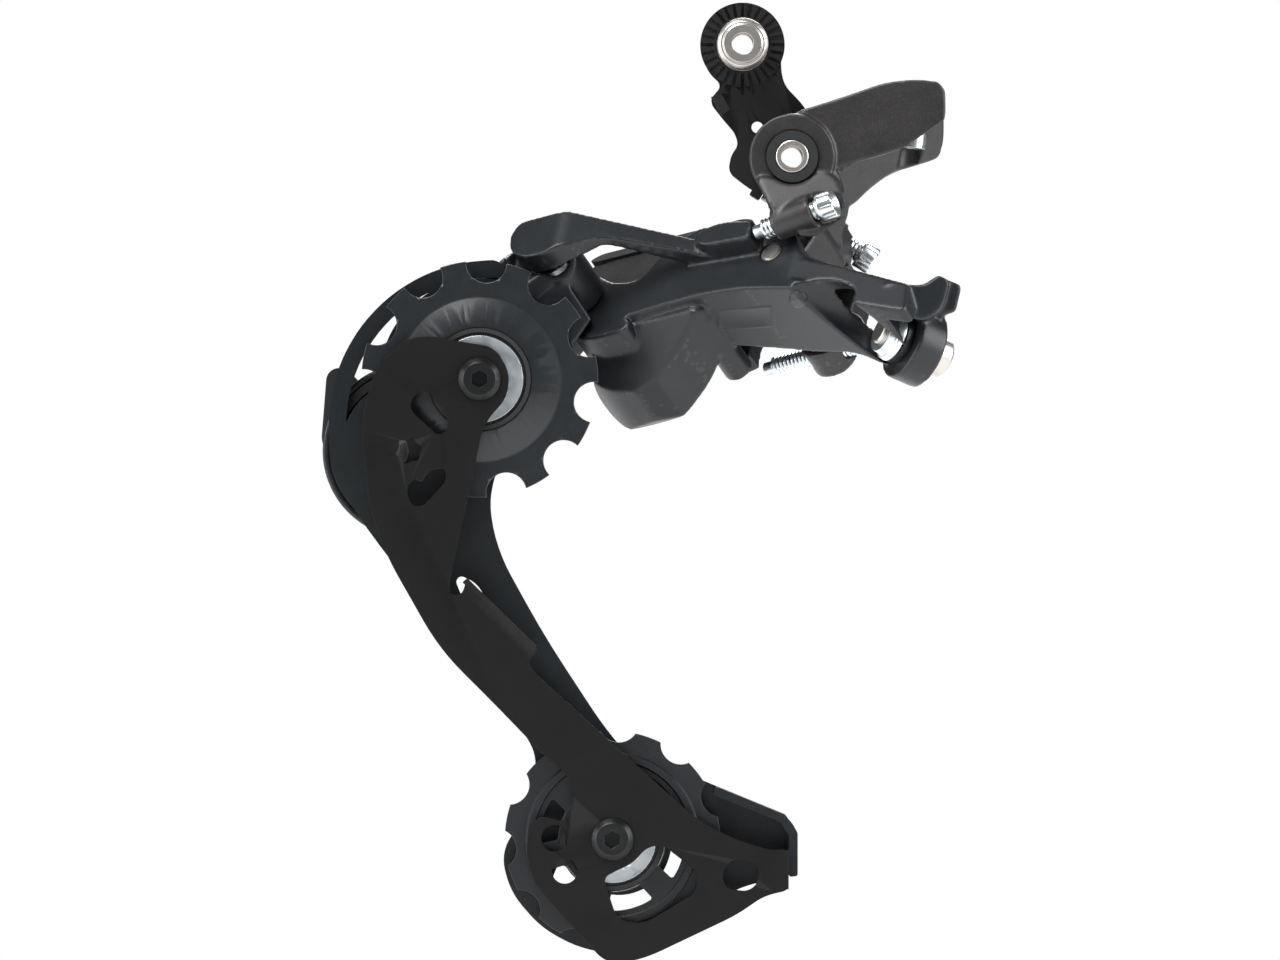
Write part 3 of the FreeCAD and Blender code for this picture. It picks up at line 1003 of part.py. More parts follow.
barrel = side_rod(P_X, P_Z, BARREL_RADIUS, BARREL_FACE, BARREL_END)
barrel_hollow = side_rod(P_X, P_Z, BARREL_RADIUS - BARREL_WALL, BARREL_FACE + BARREL_FLOOR, BARREL_END + 1)
arm = side_prism(near_p((-2.0, 14.0)) + near_front((-31.0, -3.0), (-25.0, 6.0), (-17.5, 14.5), (-9.0, 17.6),
                                                   (-2.5, 12.0),
                 (0.5, 4.0), (-5.0, -4.0), (-15.0, -12.0)) + near_p((14.0, 2.0)), BARREL_FACE + 0.6,
                 BARREL_END)
link_clearance = [
    sector(FRONT_FRAME, 70, 274, 0, LINK_REACH, -60, TOP_FLANGE_HIGH + 0.4),
    rod(FRONT_FRAME, 0, 0, LINK_EYE_RADIUS + 1.0, -60, TOP_FLANGE_HIGH + 0.3),
    sector(FRONT_FRAME, 120, 290, KNUCKLE_RADIUS, LINK_REACH, TOP_FLANGE_HIGH, FINGER_HIGH + 9),
    rod(FRONT_FRAME, 0, 0, LINK_EYE_RADIUS + 1.2, FINGER_LOW - 0.4, FINGER_HIGH + 9),
    sector(OUTER_FRONT_FRAME, 105, 310, 0, LINK_REACH, OUTER_LOW_FLANGE[0] - 2, OUTER_HIGH_FLANGE[1] + 1.5),
    rod(OUTER_FRONT_FRAME, 0, 0, OUTER_EYE_RADIUS + 1.0, OUTER_LOW_FLANGE[0] - 2, OUTER_LUG_LOW),
    rod(OUTER_FRONT_FRAME, 0, 0, OUTER_EYE_RADIUS + 1.0, OUTER_LUG_HIGH, OUTER_HIGH_FLANGE[1] + 1.5),
]
for block in link_clearance:
    arm = arm.cut(block)
SPRING_POCKET_RADIUS = 4.5
SPRING_POCKET_FLOOR = 13.6
front_knuckle_top = FINGER_LOW - 0.5
front_lugs = [
    rod(FRONT_FRAME, 0, 0, KNUCKLE_RADIUS, TOP_FLANGE_HIGH + 0.35, front_knuckle_top),
    rod(OUTER_FRONT_FRAME, 0, 0, OUTER_EYE_RADIUS, OUTER_LUG_LOW, OUTER_LUG_HIGH),
    prism(OUTER_FRONT_FRAME, [(-1, -4.8, 0), (-1, 4.8, 0), (13, 36, 0), (27, 34, 0), (12, 6, 0),
                              (5, -4.8, 0)], OUTER_LUG_LOW, OUTER_LUG_HIGH),
    prism(FRONT_FRAME, [(0, -5.0, 0), (-1.0, 5.2, 0), (14, 16, 0), (18, 2, 0)], TOP_FLANGE_HIGH + 0.35,
          front_knuckle_top),
]
stop_lug_angle = CAGE_STOP_ANGLE + math.degrees((CAGE_STOP_RADIUS + 0.12 + 1.8) / CAGE_STOP_REACH)
stop_cos, stop_sin = unit(stop_lug_angle)
lug_x = P_X + CAGE_STOP_REACH * stop_cos
lug_z = P_Z + CAGE_STOP_REACH * stop_sin
barrel_lug = joined(
    side_rod(lug_x, lug_z, 1.8, BARREL_FACE, BARREL_FACE + 5),
    side_rod(lug_x - 2.4 * stop_cos, lug_z - 2.4 * stop_sin, 1.8, BARREL_FACE, BARREL_FACE + 5),
)
keep_out = side_rod(P_X, P_Z, 60, BARREL_FACE - 40, BARREL_FACE)
cap_room = side_rod(P_X, P_Z, BARREL_RADIUS + 0.3, BARREL_END, BARREL_END + 30)
p_casting = joined(barrel, arm, *front_lugs, barrel_lug).cut(keep_out).cut(cap_room)
p_cuts = [
    barrel_hollow,
    side_rod(P_X, P_Z, P_AXLE_RADIUS + RUNNING_FIT + P_BUSH_WALL + FIXED_FIT, -60, 60),
    rod(FRONT_FRAME, 0, 0, PIN_RADIUS + RUNNING_FIT, -10, 40),
    rod(FRONT_FRAME, 0, 0, SPRING_POCKET_RADIUS, SPRING_POCKET_FLOOR, front_knuckle_top + 1),
    rod(OUTER_FRONT_FRAME, 0, 0, PIN_RADIUS + FIXED_FIT, -10, 40),
    side_tube(P_X, P_Z, BARREL_RADIUS - 1.4, BARREL_RADIUS - 3.0, BARREL_FACE - 1, BARREL_FACE + 1.0),
]
pieces["p_body"] = p_casting.cut(Part.makeCompound(p_cuts))
pieces["p_body_seal"] = side_tube(P_X, P_Z, BARREL_RADIUS - 1.4 - FIXED_FIT, BARREL_RADIUS - 3.0 + FIXED_FIT,
                                  BARREL_FACE - SEAL_STAND_OUT, BARREL_FACE + 1.0 - FACE_GAP)
pieces["p_axle_bush"] = side_tube(P_X, P_Z, P_AXLE_RADIUS + RUNNING_FIT + P_BUSH_WALL, P_AXLE_RADIUS + RUNNING_FIT,
                                  BARREL_FACE + 0.05, BARREL_FACE + BARREL_FLOOR)

cap_disc = side_rod(P_X, P_Z, BARREL_RADIUS, BARREL_END + FACE_GAP, BARREL_END + CAP_THICKNESS)
cap_plug = side_rod(P_X, P_Z, BARREL_RADIUS - BARREL_WALL - 0.1, BARREL_END - 1.5, BARREL_END + 1)
wing = side_prism(near_p((-8.0, 12.0), (-16.3, 18.6), (-17.6, 2.0), (-16.6, -0.4, 1), (-13.4, -0.6, 1),
                         (-12.0, -6.0)),
                  BARREL_END - 2.0, BARREL_END + CAP_THICKNESS)
wing = wing.cut(side_rod(P_X, P_Z, BARREL_RADIUS + 0.1, BARREL_END - 5, BARREL_END + FACE_GAP))
pieces["p_body_cap"] = joined(cap_disc, cap_plug, wing)


def coil(place, radius, wire, low, turns):
    """A close-wound spring drawn as one ridged sleeve."""
    outside = []
    inside = []
    for index in range(turns):
        base = low + index * 2 * wire
        outside += [(radius + 0.35 * wire, base), (radius + wire, base + wire)]
        inside += [(radius - 0.35 * wire, base), (radius - wire, base + wire)]
    top = low + turns * 2 * wire
    outside.append((radius + 0.35 * wire, top))
    inside.append((radius - 0.35 * wire, top))
    return turned(place, outside + list(reversed(inside)))


p_place = frame(FreeCAD.Vector(P_X, BARREL_FACE, P_Z), X_AXIS, -Z_AXIS, Y_AXIS)
CAGE_SPRING_WIRE = 1.0
spring_turns = int((BARREL_LENGTH - BARREL_FLOOR - 3.0) / (2 * CAGE_SPRING_WIRE))
pieces["cage_spring"] = coil(p_place, BARREL_RADIUS - BARREL_WALL - 4.0, CAGE_SPRING_WIRE, BARREL_FLOOR + 0.3,
                             spring_turns)
RETURN_SPRING_WIRE = 0.75
return_turns = int((front_knuckle_top - SPRING_POCKET_FLOOR) / (2 * RETURN_SPRING_WIRE))
pieces["return_spring"] = coil(FRONT_FRAME, SPRING_POCKET_RADIUS - RETURN_SPRING_WIRE - 0.15, RETURN_SPRING_WIRE,
                               SPRING_POCKET_FLOOR + 0.1, return_turns)

# ---------------------------------------------------------------- P-axle and stop pin, both fixed in the cage

AXLE_INSIDE = OUTER_PLATE_INSIDE - BARREL_FACE
AXLE_CLIP_AT = BARREL_FLOOR + 0.3
axle_top = BARREL_LENGTH - 3.0
p_axle = turned(p_place, [
    (0, AXLE_INSIDE), (P_AXLE_RADIUS, AXLE_INSIDE), (P_AXLE_RADIUS, axle_top - 1),
    (P_AXLE_RADIUS - 1, axle_top), (0, axle_top),
])
groove = tube(p_place, 0, 0, P_AXLE_RADIUS + 1, P_AXLE_RADIUS - 0.7, AXLE_CLIP_AT, AXLE_CLIP_AT + 1.0)
key = hexagon(p_place, 4.0, AXLE_INSIDE - 1, AXLE_INSIDE + 3)
pieces["p_axle"] = p_axle.cut(groove).cut(key)
pieces["p_axle_clip"] = tube(p_place, 0, 0, P_AXLE_RADIUS + 1.9, P_AXLE_RADIUS - 0.65, AXLE_CLIP_AT + FACE_GAP,
                             AXLE_CLIP_AT + 1.0 - FACE_GAP)
pin_cos, pin_sin = unit(CAGE_STOP_ANGLE)
stop_x = P_X + CAGE_STOP_REACH * pin_cos
stop_z = P_Z + CAGE_STOP_REACH * pin_sin
pieces["cage_stop_pin"] = side_rod(stop_x, stop_z, CAGE_STOP_RADIUS, OUTER_PLATE_INSIDE + 0.1, BARREL_FACE + 4.0)
pieces["outer_cage_plate"] = pieces["outer_cage_plate"].cut(
    side_rod(stop_x, stop_z, CAGE_STOP_RADIUS + FIXED_FIT, -60, 60))

# ---------------------------------------------------------------- one file for each piece

os.makedirs("parts", exist_ok=True)
for name, shape in pieces.items():
    shape.exportStep("parts/" + name + ".step")
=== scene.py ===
import json
import math

import bmesh
import bpy
from mathutils import Matrix, Vector


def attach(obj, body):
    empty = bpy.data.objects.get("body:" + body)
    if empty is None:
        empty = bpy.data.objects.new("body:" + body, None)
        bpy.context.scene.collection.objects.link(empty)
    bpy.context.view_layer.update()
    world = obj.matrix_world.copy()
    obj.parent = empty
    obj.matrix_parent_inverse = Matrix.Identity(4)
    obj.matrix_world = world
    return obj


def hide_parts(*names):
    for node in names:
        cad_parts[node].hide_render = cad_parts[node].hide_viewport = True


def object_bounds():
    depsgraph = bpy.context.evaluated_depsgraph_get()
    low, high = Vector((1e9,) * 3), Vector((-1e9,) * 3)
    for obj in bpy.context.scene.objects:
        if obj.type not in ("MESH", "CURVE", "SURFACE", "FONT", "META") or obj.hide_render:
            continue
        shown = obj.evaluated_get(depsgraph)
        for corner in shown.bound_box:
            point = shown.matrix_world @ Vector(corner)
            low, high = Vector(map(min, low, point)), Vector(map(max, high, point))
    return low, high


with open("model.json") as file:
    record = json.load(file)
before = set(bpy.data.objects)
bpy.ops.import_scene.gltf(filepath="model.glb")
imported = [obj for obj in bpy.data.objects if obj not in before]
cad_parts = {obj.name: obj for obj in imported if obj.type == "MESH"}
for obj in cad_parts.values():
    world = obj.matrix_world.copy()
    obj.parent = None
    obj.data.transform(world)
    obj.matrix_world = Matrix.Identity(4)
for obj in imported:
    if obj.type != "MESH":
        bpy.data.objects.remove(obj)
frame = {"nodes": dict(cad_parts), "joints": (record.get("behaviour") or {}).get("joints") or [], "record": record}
cad_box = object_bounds()

MM = 0.001
SCENE = bpy.context.scene
NODES = frame["nodes"]
SLOT_OF = {part["node"]: part["material_slot"] for part in frame["record"]["subparts"]}
BODY_OF = {
    node: body
    for body, nodes in frame["record"]["behaviour"]["bodies"].items()
    for node in nodes
}
JOINTS = {joint["name"]: joint for joint in frame["joints"]}


# ------------------------------------------------------------------ materials

CLOUD_SIZE = 5.0        # mm: the patches of slightly lighter and darker colour
FLAKE_SIZE = 0.16       # mm: one flake in metallic paint


def new_material(name):
    material = bpy.data.materials.new(name)
    material.use_nodes = True
    tree = material.node_tree
    return material, tree, tree.nodes["Principled BSDF"]


def noise(tree, size_mm, detail=3.0, rough=0.55):
    """A noise texture whose blotches are about size_mm across."""
    place = tree.nodes.new("ShaderNodeTexCoord")
    texture = tree.nodes.new("ShaderNodeTexNoise")
    texture.inputs["Scale"].default_value = 1.0 / (size_mm * MM)
    texture.inputs["Detail"].default_value = detail
    texture.inputs["Roughness"].default_value = rough
    tree.links.new(place.outputs["Object"], texture.inputs["Vector"])
    return texture


def ramp(tree, source, stops):
    """A colour ramp from (position, colour) stops."""
    node = tree.nodes.new("ShaderNodeValToRGB")
    node.color_ramp.elements[0].position = stops[0][0]
    node.color_ramp.elements[0].color = (*stops[0][1], 1)
    node.color_ramp.elements[1].position = stops[-1][0]
    node.color_ramp.elements[1].color = (*stops[-1][1], 1)
    for position, colour in stops[1:-1]:
        element = node.color_ramp.elements.new(position)
        element.color = (*colour, 1)
    tree.links.new(source, node.inputs["Fac"])
    return node


def scaled(colour, factor):
    return tuple(min(1.0, channel * factor) for channel in colour)


def added(tree, colour, light, amount):
    """The colour with a second colour added to it, by this amount."""
    blend = tree.nodes.new("ShaderNodeMix")
    blend.data_type = "RGBA"
    blend.blend_type = "ADD"
    blend.inputs["Factor"].default_value = amount
    tree.links.new(colour, blend.inputs["A"])
    tree.links.new(light, blend.inputs["B"])
    return blend.outputs["Result"]


def with_flakes(tree, colour, sparkle):
    """The colour with fine bright flakes, as in metallic paint."""
    place = tree.nodes.new("ShaderNodeTexCoord")
    cells = tree.nodes.new("ShaderNodeTexVoronoi")
    cells.inputs["Scale"].default_value = 1.0 / (FLAKE_SIZE * MM)
    tree.links.new(place.outputs["Object"], cells.inputs["Vector"])
    flakes = ramp(tree, cells.outputs["Color"], [(0.66, (0, 0, 0)), (0.86, (1, 1, 1))])
    return added(tree, colour, flakes.outputs["Color"], sparkle)


def with_painted_edge_highlights(tree, colour, highlight_brightness):
    """The colour with a painted highlight: lighter where the surface is sharply convex."""
    geometry = tree.nodes.new("ShaderNodeNewGeometry")
    # painted highlight: a grey added along sharply convex edges, in place of light caught by them
    highlight_grey = (highlight_brightness, highlight_brightness, highlight_brightness)
    rim = ramp(tree, geometry.outputs["Pointiness"], [(0.515, (0, 0, 0)), (0.60, highlight_grey)])
    return added(tree, colour, rim.outputs["Color"], 1.0)


def add_grain(tree, shader, size_mm, roughness, depth):
    """A fine grain that varies the gloss and raises a bump of this depth in mm."""
    fine = noise(tree, size_mm)
    gloss = tree.nodes.new("ShaderNodeMapRange")
    gloss.inputs["From Min"].default_value = 0.3
    gloss.inputs["From Max"].default_value = 0.7
    gloss.inputs["To Min"].default_value = roughness - 0.05
    gloss.inputs["To Max"].default_value = roughness + 0.07
    tree.links.new(fine.outputs["Fac"], gloss.inputs["Value"])
    tree.links.new(gloss.outputs["Result"], shader.inputs["Roughness"])
    bump = tree.nodes.new("ShaderNodeBump")
    bump.inputs["Distance"].default_value = depth * MM
    bump.inputs["Strength"].default_value = 1.0
    tree.links.new(fine.outputs["Fac"], bump.inputs["Height"])
    tree.links.new(bump.outputs["Normal"], shader.inputs["Normal"])


def surface(name, colour, roughness, metallic=0.0, grain=0.3, depth=0.01, mottle=0.2, coat=0.0,
            sparkle=0.0, edge_highlight=0.0, shine=0.5):
    """A finish with a fine grain, uneven colour and gloss, paint sparkle and a painted highlight on sharp edges.
    """
    material, tree, shader = new_material(name)
    shader.inputs["Metallic"].default_value = metallic
    shader.inputs["Coat Weight"].default_value = coat
    shader.inputs["Coat Roughness"].default_value = 0.25
    shader.inputs["Specular IOR Level"].default_value = shine
    cloud = noise(tree, CLOUD_SIZE, 4.0)
    tint = ramp(tree, cloud.outputs["Fac"], [
        (0.32, scaled(colour, 1 - mottle)), (0.68, scaled(colour, 1 + mottle))])
    final = tint.outputs["Color"]
    if sparkle > 0:
        final = with_flakes(tree, final, sparkle)
    # sharp edges brightened: a painted highlight
    if edge_highlight > 0:
        final = with_painted_edge_highlights(tree, final, edge_highlight)
    tree.links.new(final, shader.inputs["Base Color"])
    add_grain(tree, shader, grain, roughness, depth)
    return material


# Where a finish below brightens its sharp edges, that brightening is a painted highlight.
MATERIALS = {
    "black_steel": surface(
        "black_steel", (0.0025, 0.0023, 0.0024), 0.36, grain=0.22, depth=0.005, edge_highlight=0.012, shine=0.2),
    "black_aluminium": surface(
        "black_aluminium", (0.004, 0.006, 0.0075), 0.38, metallic=0.2, grain=0.25, depth=0.006),
    "grey_casting": surface(
        "grey_casting", (0.024, 0.022, 0.023), 0.38, metallic=0.3, grain=0.3, depth=0.008, sparkle=0.016,
        edge_highlight=0.02),
    "dark_casting": surface(
        "dark_casting", (0.0085, 0.0105, 0.0130), 0.37, metallic=0.2, grain=0.35, depth=0.008, sparkle=0.003,
        edge_highlight=0.015),
    "cover_plastic": surface("cover_plastic", (0.012, 0.012, 0.013), 0.55, grain=0.3, depth=0.02),
    "pulley_plastic": surface(
        "pulley_plastic", (0.0045, 0.0062, 0.0082), 0.36, grain=0.3, depth=0.004, coat=0.15),
    "seal_rubber": surface("seal_rubber", (0.006, 0.006, 0.006), 0.7, grain=0.3, depth=0.01),
    "zinc_plate": surface(
        "zinc_plate", (0.66, 0.70, 0.72), 0.30, metallic=1.0, grain=2.5, depth=0.0, mottle=0.04),
    "stainless_steel": surface(
        "stainless_steel", (0.55, 0.52, 0.48), 0.33, metallic=1.0, grain=0.25, depth=0.006, mottle=0.07),
    "black_bolt": surface(
        "black_bolt", (0.008, 0.0085, 0.009), 0.33, metallic=0.5, grain=0.2, depth=0.005, edge_highlight=0.03),
    "bronze": surface("bronze", (0.45, 0.3, 0.15), 0.4, metallic=1.0, grain=0.2, depth=0.006),
    "spring_steel": surface("spring_steel", (0.35, 0.35, 0.36), 0.3, metallic=1.0, grain=0.2, depth=0.004),
}


# ------------------------------------------------------------------ pieces

WELD = 0.002            # mm: vertices closer than this become one
FLAT_WITHIN = 0.6       # degrees: neighbouring triangles this close to flat become one face


def add_piece(name, mesh, body, slot):
    piece = bpy.data.objects.new(name, mesh)
    SCENE.collection.objects.link(piece)
    piece.data.materials.clear()
    piece.data.materials.append(MATERIALS[slot])
    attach(piece, body)
    return piece


def baked(piece):
    """Applies the modifiers of a piece to its mesh."""
    graph = bpy.context.evaluated_depsgraph_get()
    mesh = bpy.data.meshes.new_from_object(piece.evaluated_get(graph))
    piece.modifiers.clear()
    piece.data = mesh
    return piece


def welded_copy(node):
    """A copy of a CAD node's mesh with its seams welded."""
    mesh = NODES[node].data.copy()
    work = bmesh.new()
    work.from_mesh(mesh)
    bmesh.ops.remove_doubles(work, verts=work.verts, dist=WELD * MM)
    work.to_mesh(mesh)
    work.free()
    return mesh


def cast_finish(node, voxel=0.3, rounds=16):
    """Stands for a cast piece: the same shape on a voxel grid in mm, smoothed so that its edges are soft."""
    mesh = welded_copy(node)
    piece = add_piece(node + "_casting", mesh, BODY_OF[node], SLOT_OF[node])
    skin = piece.modifiers.new("skin", "REMESH")
    skin.mode = "VOXEL"
    skin.voxel_size = voxel * MM
    soften = piece.modifiers.new("soften", "SMOOTH")
    soften.factor = 0.5
    soften.iterations = rounds
    baked(piece)
    piece.data.shade_smooth()
    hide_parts(node)
    return piece


def edge_finish(node, width, angle=32.0):
    """Stands for a pressed, turned or moulded piece: edges sharper than the angle are broken to the width."""
    mesh = welded_copy(node)
    work = bmesh.new()
    work.from_mesh(mesh)
    bmesh.ops.dissolve_limit(work, angle_limit=math.radians(FLAT_WITHIN), verts=work.verts, edges=work.edges)
    work.to_mesh(mesh)
    work.free()
    piece = add_piece(node + "_finish", mesh, BODY_OF[node], SLOT_OF[node])
    piece.data.shade_smooth()
    bevel = piece.modifiers.new("edges", "BEVEL")
    bevel.width = width * MM
    bevel.segments = 2
    bevel.limit_method = "ANGLE"
    bevel.angle_limit = math.radians(angle)
    weighted = piece.modifiers.new("flat faces", "WEIGHTED_NORMAL")
    weighted.weight = 60
    baked(piece)
    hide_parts(node)
    return piece


for node in ("inner_link", "bracket", "p_body", "outer_link"):
    cast_finish(node)

# ------------------------------------------------------------------ marks on the castings

VIEWER_SIDE = -0.2      # metres: the marks are laid on from this far inboard, looking outboard
SUNK = 0.03             # mm: the foot of a mark lies this deep in the casting
ROUND_STEPS = 48        # points round a round mark or a screw


def laid_on(name, grid, node, slot, raise_mm):
    """A thin skin over a casting: rows of (x, z, share of the height) laid on it from the inboard side."""
    casting = bpy.data.objects[node + "_casting"]
    work = bmesh.new()
    rows = []
    for row in grid:
        verts = []
        for x, z, share in row:
            hit, place, normal, _ = casting.ray_cast(Vector((x * MM, VIEWER_SIDE, z * MM)), Vector((0, 1, 0)))
            if not hit:
                raise ValueError(name + " misses the casting")
            verts.append(work.verts.new(place + normal * (share * raise_mm - SUNK) * MM))
        rows.append(verts)
    for lower, upper in zip(rows, rows[1:]):
        for index in range(len(lower) - 1):
            work.faces.new((lower[index], lower[index + 1], upper[index + 1], upper[index]))
    bmesh.ops.remove_doubles(work, verts=work.verts, dist=WELD / 2 * MM)
    bmesh.ops.recalc_face_normals(work, faces=work.faces)
    mesh = bpy.data.meshes.new(name)
    work.to_mesh(mesh)
    work.free()
    mesh.shade_smooth()
    return add_piece(name, mesh, BODY_OF[node], slot)


def dot(name, x, z, radii, shares, node, slot, raise_mm):
    """A round mark: rings of the given radii, each raised by its share."""
    grid = []
    for radius, share in zip(radii, shares):
        row = []
        for step in range(ROUND_STEPS + 1):
            angle = 2 * math.pi * step / ROUND_STEPS
            row.append((x + radius * math.cos(angle), z + radius * math.sin(angle), share))
        grid.append(row)
    return laid_on(name, grid, node, slot, raise_mm)


def plate_mark(name, centre, size, slant, node, slot, raise_mm):
    """A plain raised plate with a low middle, as a casting's blank data panel."""
    profile = [(0.0, 0.0), (0.04, 1.0), (0.10, 1.0), (0.14, 0.25)]      # share across, share of the height
    profile += [(1.0 - across, height) for across, height in reversed(profile)]
    columns = 24
    edge_share = 0.02       # the plate falls to the casting over this share of its length
    rim_share = 0.05        # and its raised rim is this wide
    cos_slant, sin_slant = math.cos(slant), math.sin(slant)
    grid = []
    for across, height in profile:
        row = []
        for step in range(columns + 1):
            along = step / columns
            fall = min(1.0, along / edge_share, (1 - along) / edge_share)
            on_rim = 0.0 < across < 1.0 and not rim_share <= along <= 1 - rim_share
            dx, dz = (along - 0.5) * size[0], (across - 0.5) * size[1]
            x = centre[0] + dx * cos_slant - dz * sin_slant
            z = centre[1] + dx * sin_slant + dz * cos_slant
            row.append((x, z, fall * (1.0 if on_rim else height)))
        grid.append(row)
    return laid_on(name, grid, node, slot, raise_mm)


dot("blank_sticker", 10.6, -49.6, (0.01, 1.5, 1.7, 1.8), (1, 1, 0.8, 0), "inner_link", "black_bolt", 0.12)
plate_mark("blank_panel", (0.4, -53.2), (10.6, 4.2), math.radians(4), "inner_link", "dark_casting", 0.16)

EDGE_WIDTHS = {         # mm
    "inner_cage_plate": 0.14, "outer_cage_plate": 0.35, "guide_pulley": 0.16, "tension_pulley": 0.16,
    "hanger_link": 0.18, "hanger_bolt": 0.14, "b_axle": 0.12, "p_body_cap": 0.5, "outer_link_cover": 0.3,
    "guide_pulley_bolt": 0.14, "tension_pulley_bolt": 0.14, "guide_pulley_cap_inboard": 0.07,
    "tension_pulley_cap_inboard": 0.07, "guide_pulley_cap_outboard": 0.07,
    "tension_pulley_cap_outboard": 0.07, "cable_clamp_nut": 0.1, "cable_clamp_plate": 0.12,
    "cable_clamp_bolt": 0.16, "cable_ferrule": 0.08,
}
for node, width in EDGE_WIDTHS.items():
    edge_finish(node, width)

# ------------------------------------------------------------------ screws with real threads

# All in mm. Heights run from the seat of the head to the tip, so those in the head are negative.
THREAD_RADIUS = 1.99    # just inside the CAD screw
THREAD_PITCH = 0.8
THREAD_DEPTH = 0.26
THREAD_FLANK = 1.35     # how much steeper than a plain V, which leaves a flat root
THREAD_START = 0.1
THREAD_FADE = 0.5       # the thread dies out over this length at each end
THREAD_END = 2.2        # the thread ends this far from the tip
ROWS_PER_TURN = 8
POINT_RADIUS = 1.35     # the plain point beyond the thread
POINT_LENGTH = 1.75
POINT_CHAMFER = 0.2
TIP = 0.01              # the tip is this far inside the CAD screw
HEAD_RADIUS = 2.79
HEAD_HEIGHT = 3.4
HEAD_OUTLINE = [        # radius, height, and whether the flutes cut it there: from the socket to the seat
    (1.2, 1.1 - HEAD_HEIGHT, False), (1.9, 0.02 - HEAD_HEIGHT, False), (2.35, 0.01 - HEAD_HEIGHT, False),
    (HEAD_RADIUS - 0.21, 0.1 - HEAD_HEIGHT, True), (HEAD_RADIUS - 0.01, 0.4 - HEAD_HEIGHT, True),
    (HEAD_RADIUS - 0.01, -0.9, True), (HEAD_RADIUS, -0.7, False), (HEAD_RADIUS, -0.12, False),
    (HEAD_RADIUS - 0.11, -0.01, False),
]
FLUTES = 8
FLUTE_DEPTH = 0.3


def along_axis(joint):
    """The placement of a screw from its joint: z runs from the head's seat to the tip."""
    direction = Vector(joint["axis"]).normalized()
    return Matrix.Translation(Vector(joint["pos_m"])) @ direction.to_track_quat("Z", "Y").to_matrix().to_4x4()


def grid_skin(work, rows):
    """Joins rings of vertices into a skin, and closes its two ends."""
    rings = [[work.verts.new(point) for point in row] for row in rows]
    count = len(rings[0])
    for lower, upper in zip(rings, rings[1:]):
        for index in range(count):
            after = (index + 1) % count
            work.faces.new((lower[index], lower[after], upper[after], upper[index]))
    work.faces.new(list(reversed(rings[0])))
    work.faces.new(rings[-1])


def ring(radius, height, shape=None):
    """A ring of points in metres: round, or of the reach that the shape gives at each angle."""
    points = []
    for index in range(ROUND_STEPS):
        angle = 2 * math.pi * index / ROUND_STEPS
        reach = radius if shape is None else shape(angle, radius)
        points.append(Vector((reach * math.cos(angle), reach * math.sin(angle), height)) * MM)
    return points


def threaded(height, fade):
    """The shape of a ring that a helical thread cuts at this height."""
    def reach(angle, radius):
        phase = (height / THREAD_PITCH - angle / (2 * math.pi)) % 1.0
        tooth = abs(2 * phase - 1)
        return radius - THREAD_DEPTH * fade * min(1.0, THREAD_FLANK * tooth)

    return reach


def thread_rows(start, end):
    """Rings whose radius follows a helical thread between two heights."""
    steps = int((end - start) / (THREAD_PITCH / ROWS_PER_TURN))
    rows = []
    for step in range(steps + 1):
        height = start + (end - start) * step / steps
        fade = min(1.0, (height - start) / THREAD_FADE, (end - height) / THREAD_FADE)
        rows.append(ring(THREAD_RADIUS, height, threaded(height, fade)))
    return rows


def fluted(angle, radius):
    """The shape of a ring that the flutes of a screw's head cut."""
    return radius - FLUTE_DEPTH * max(0.0, math.cos(FLUTES * angle)) ** 3


def screw_piece(node, joint_name):
    """Stands for an adjusting screw: a fluted head with a socket, a real thread and a plain point."""
    place = along_axis(JOINTS[joint_name])
    corners = [place.inverted() @ vertex.co for vertex in NODES[node].data.vertices]
    length = max(corner.z for corner in corners) / MM
    rows = [ring(radius, height, fluted if cut else None) for radius, height, cut in HEAD_OUTLINE]
    rows.append(ring(THREAD_RADIUS, 0.0))
    rows += thread_rows(THREAD_START, length - THREAD_END)
    rows.append(ring(POINT_RADIUS, length - POINT_LENGTH))
    rows.append(ring(POINT_RADIUS, length - POINT_CHAMFER))
    rows.append(ring(POINT_RADIUS - POINT_CHAMFER, length - TIP))
    work = bmesh.new()
    grid_skin(work, rows)
    work.transform(place)
    bmesh.ops.recalc_face_normals(work, faces=work.faces)
    mesh = bpy.data.meshes.new(node + "_threaded")
    work.to_mesh(mesh)
    work.free()
    mesh.shade_smooth()
    piece = add_piece(node + "_threaded", mesh, BODY_OF[node], SLOT_OF[node])
    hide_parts(node)
    return piece


for screw in ("b_tension_screw", "high_limit_screw", "low_limit_screw"):
    screw_piece(screw, screw + "_turn")

for node, cad_object in NODES.items():
    cad_object.data.materials.clear()
    cad_object.data.materials.append(MATERIALS[SLOT_OF[node]])

# ------------------------------------------------------------------ stage, light and camera

# All in metres, and lamps in watts.
FLOOR_DROP = 0.07
FLOOR_RADIUS = 1.1
SURROUND_TINT = (0.86, 0.93, 1.0, 1)
SURROUND_LIGHT = 0.16
LAMPS = [       # name, place, width of the square lamp, power
    ("key", (-0.35, -0.55, 0.8), 0.7, 15),
    ("right", (0.95, -0.35, 0.25), 0.8, 13),
    ("left", (-1.0, -0.35, 0.05), 0.8, 9),
    ("low", (0.1, -0.5, -0.75), 0.6, 3),
    ("back", (0.1, 0.8, 0.7), 0.8, 12),
]
CAMERA_DISTANCE = 2.5
CAMERA_AIM = (-0.0199, -0.0845)     # x and z of the middle of the picture
PICTURE_WIDTH = 0.2485437           # what the picture spans at the object
SENSOR = 36.0                       # mm, and so is the lens
low, high = cad_box


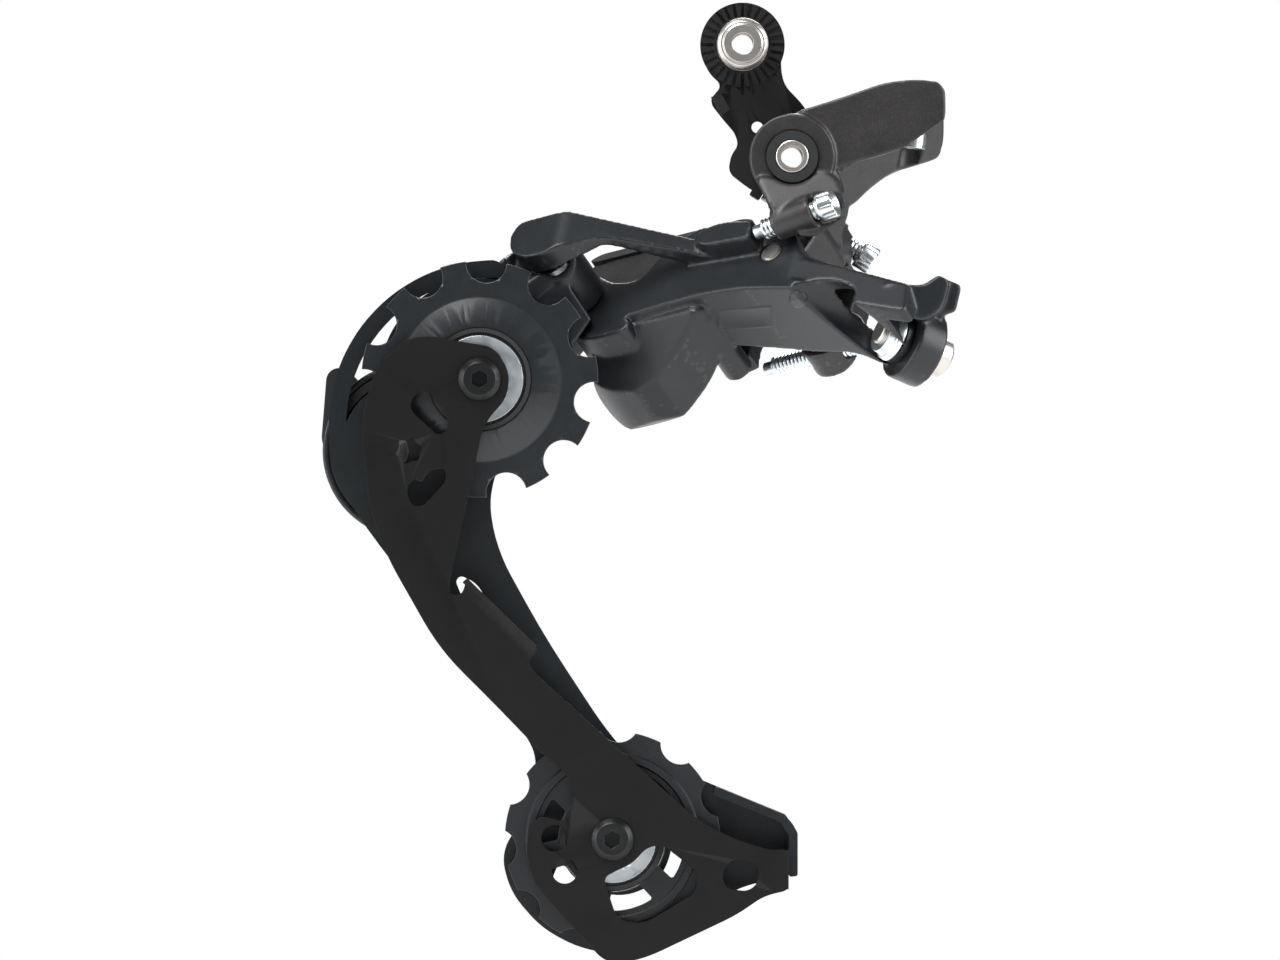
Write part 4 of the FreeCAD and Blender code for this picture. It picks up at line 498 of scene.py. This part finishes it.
def make_floor():
    work = bmesh.new()
    bmesh.ops.create_circle(work, cap_ends=True, radius=FLOOR_RADIUS, segments=96)
    work.transform(Matrix.Translation((0, 0, low[2] - FLOOR_DROP)))
    mesh = bpy.data.meshes.new("floor")
    work.to_mesh(mesh)
    work.free()
    floor = bpy.data.objects.new("floor", mesh)
    SCENE.collection.objects.link(floor)
    material, tree, shader = new_material("pale_floor")
    shader.inputs["Base Color"].default_value = (0.9, 0.9, 0.9, 1)
    shader.inputs["Roughness"].default_value = 0.8
    mesh.materials.append(material)


def soft_light(name, place, size, power, target):
    lamp = bpy.data.lights.new(name, "AREA")
    lamp.shape = "SQUARE"
    lamp.size = size
    lamp.energy = power
    light = bpy.data.objects.new(name, lamp)
    light.location = place
    light.rotation_euler = (Vector(target) - Vector(place)).to_track_quat("-Z", "Y").to_euler()
    SCENE.collection.objects.link(light)


def make_world():
    """A white surround for the eye, and a dimmer one for the light on the object."""
    world = bpy.data.worlds.new("surround")
    world.use_nodes = True
    SCENE.world = world
    tree = world.node_tree
    dim = tree.nodes["Background"]
    dim.inputs["Color"].default_value = SURROUND_TINT
    dim.inputs["Strength"].default_value = SURROUND_LIGHT
    white = tree.nodes.new("ShaderNodeBackground")
    white.inputs["Color"].default_value = (1, 1, 1, 1)
    white.inputs["Strength"].default_value = 1.0
    path = tree.nodes.new("ShaderNodeLightPath")
    mix = tree.nodes.new("ShaderNodeMixShader")
    tree.links.new(path.outputs["Is Camera Ray"], mix.inputs["Fac"])
    tree.links.new(dim.outputs["Background"], mix.inputs[1])
    tree.links.new(white.outputs["Background"], mix.inputs[2])
    tree.links.new(mix.outputs["Shader"], tree.nodes["World Output"].inputs["Surface"])


def add_camera():
    """Looks outboard along +Y, square to the side that faces the wheel."""
    lens = bpy.data.cameras.new("camera")
    lens.sensor_width = SENSOR
    lens.lens = SENSOR * CAMERA_DISTANCE / PICTURE_WIDTH
    lens.clip_end = 50
    camera = bpy.data.objects.new("camera", lens)
    camera.location = (CAMERA_AIM[0], -CAMERA_DISTANCE, CAMERA_AIM[1])
    camera.rotation_euler = (math.radians(90), 0, 0)
    SCENE.collection.objects.link(camera)
    SCENE.camera = camera


make_floor()
make_world()
middle = (Vector(low) + Vector(high)) / 2
for name, place, width, power in LAMPS:
    soft_light(name, place, width, power, middle)
add_camera()
SCENE.view_settings.view_transform = "Standard"
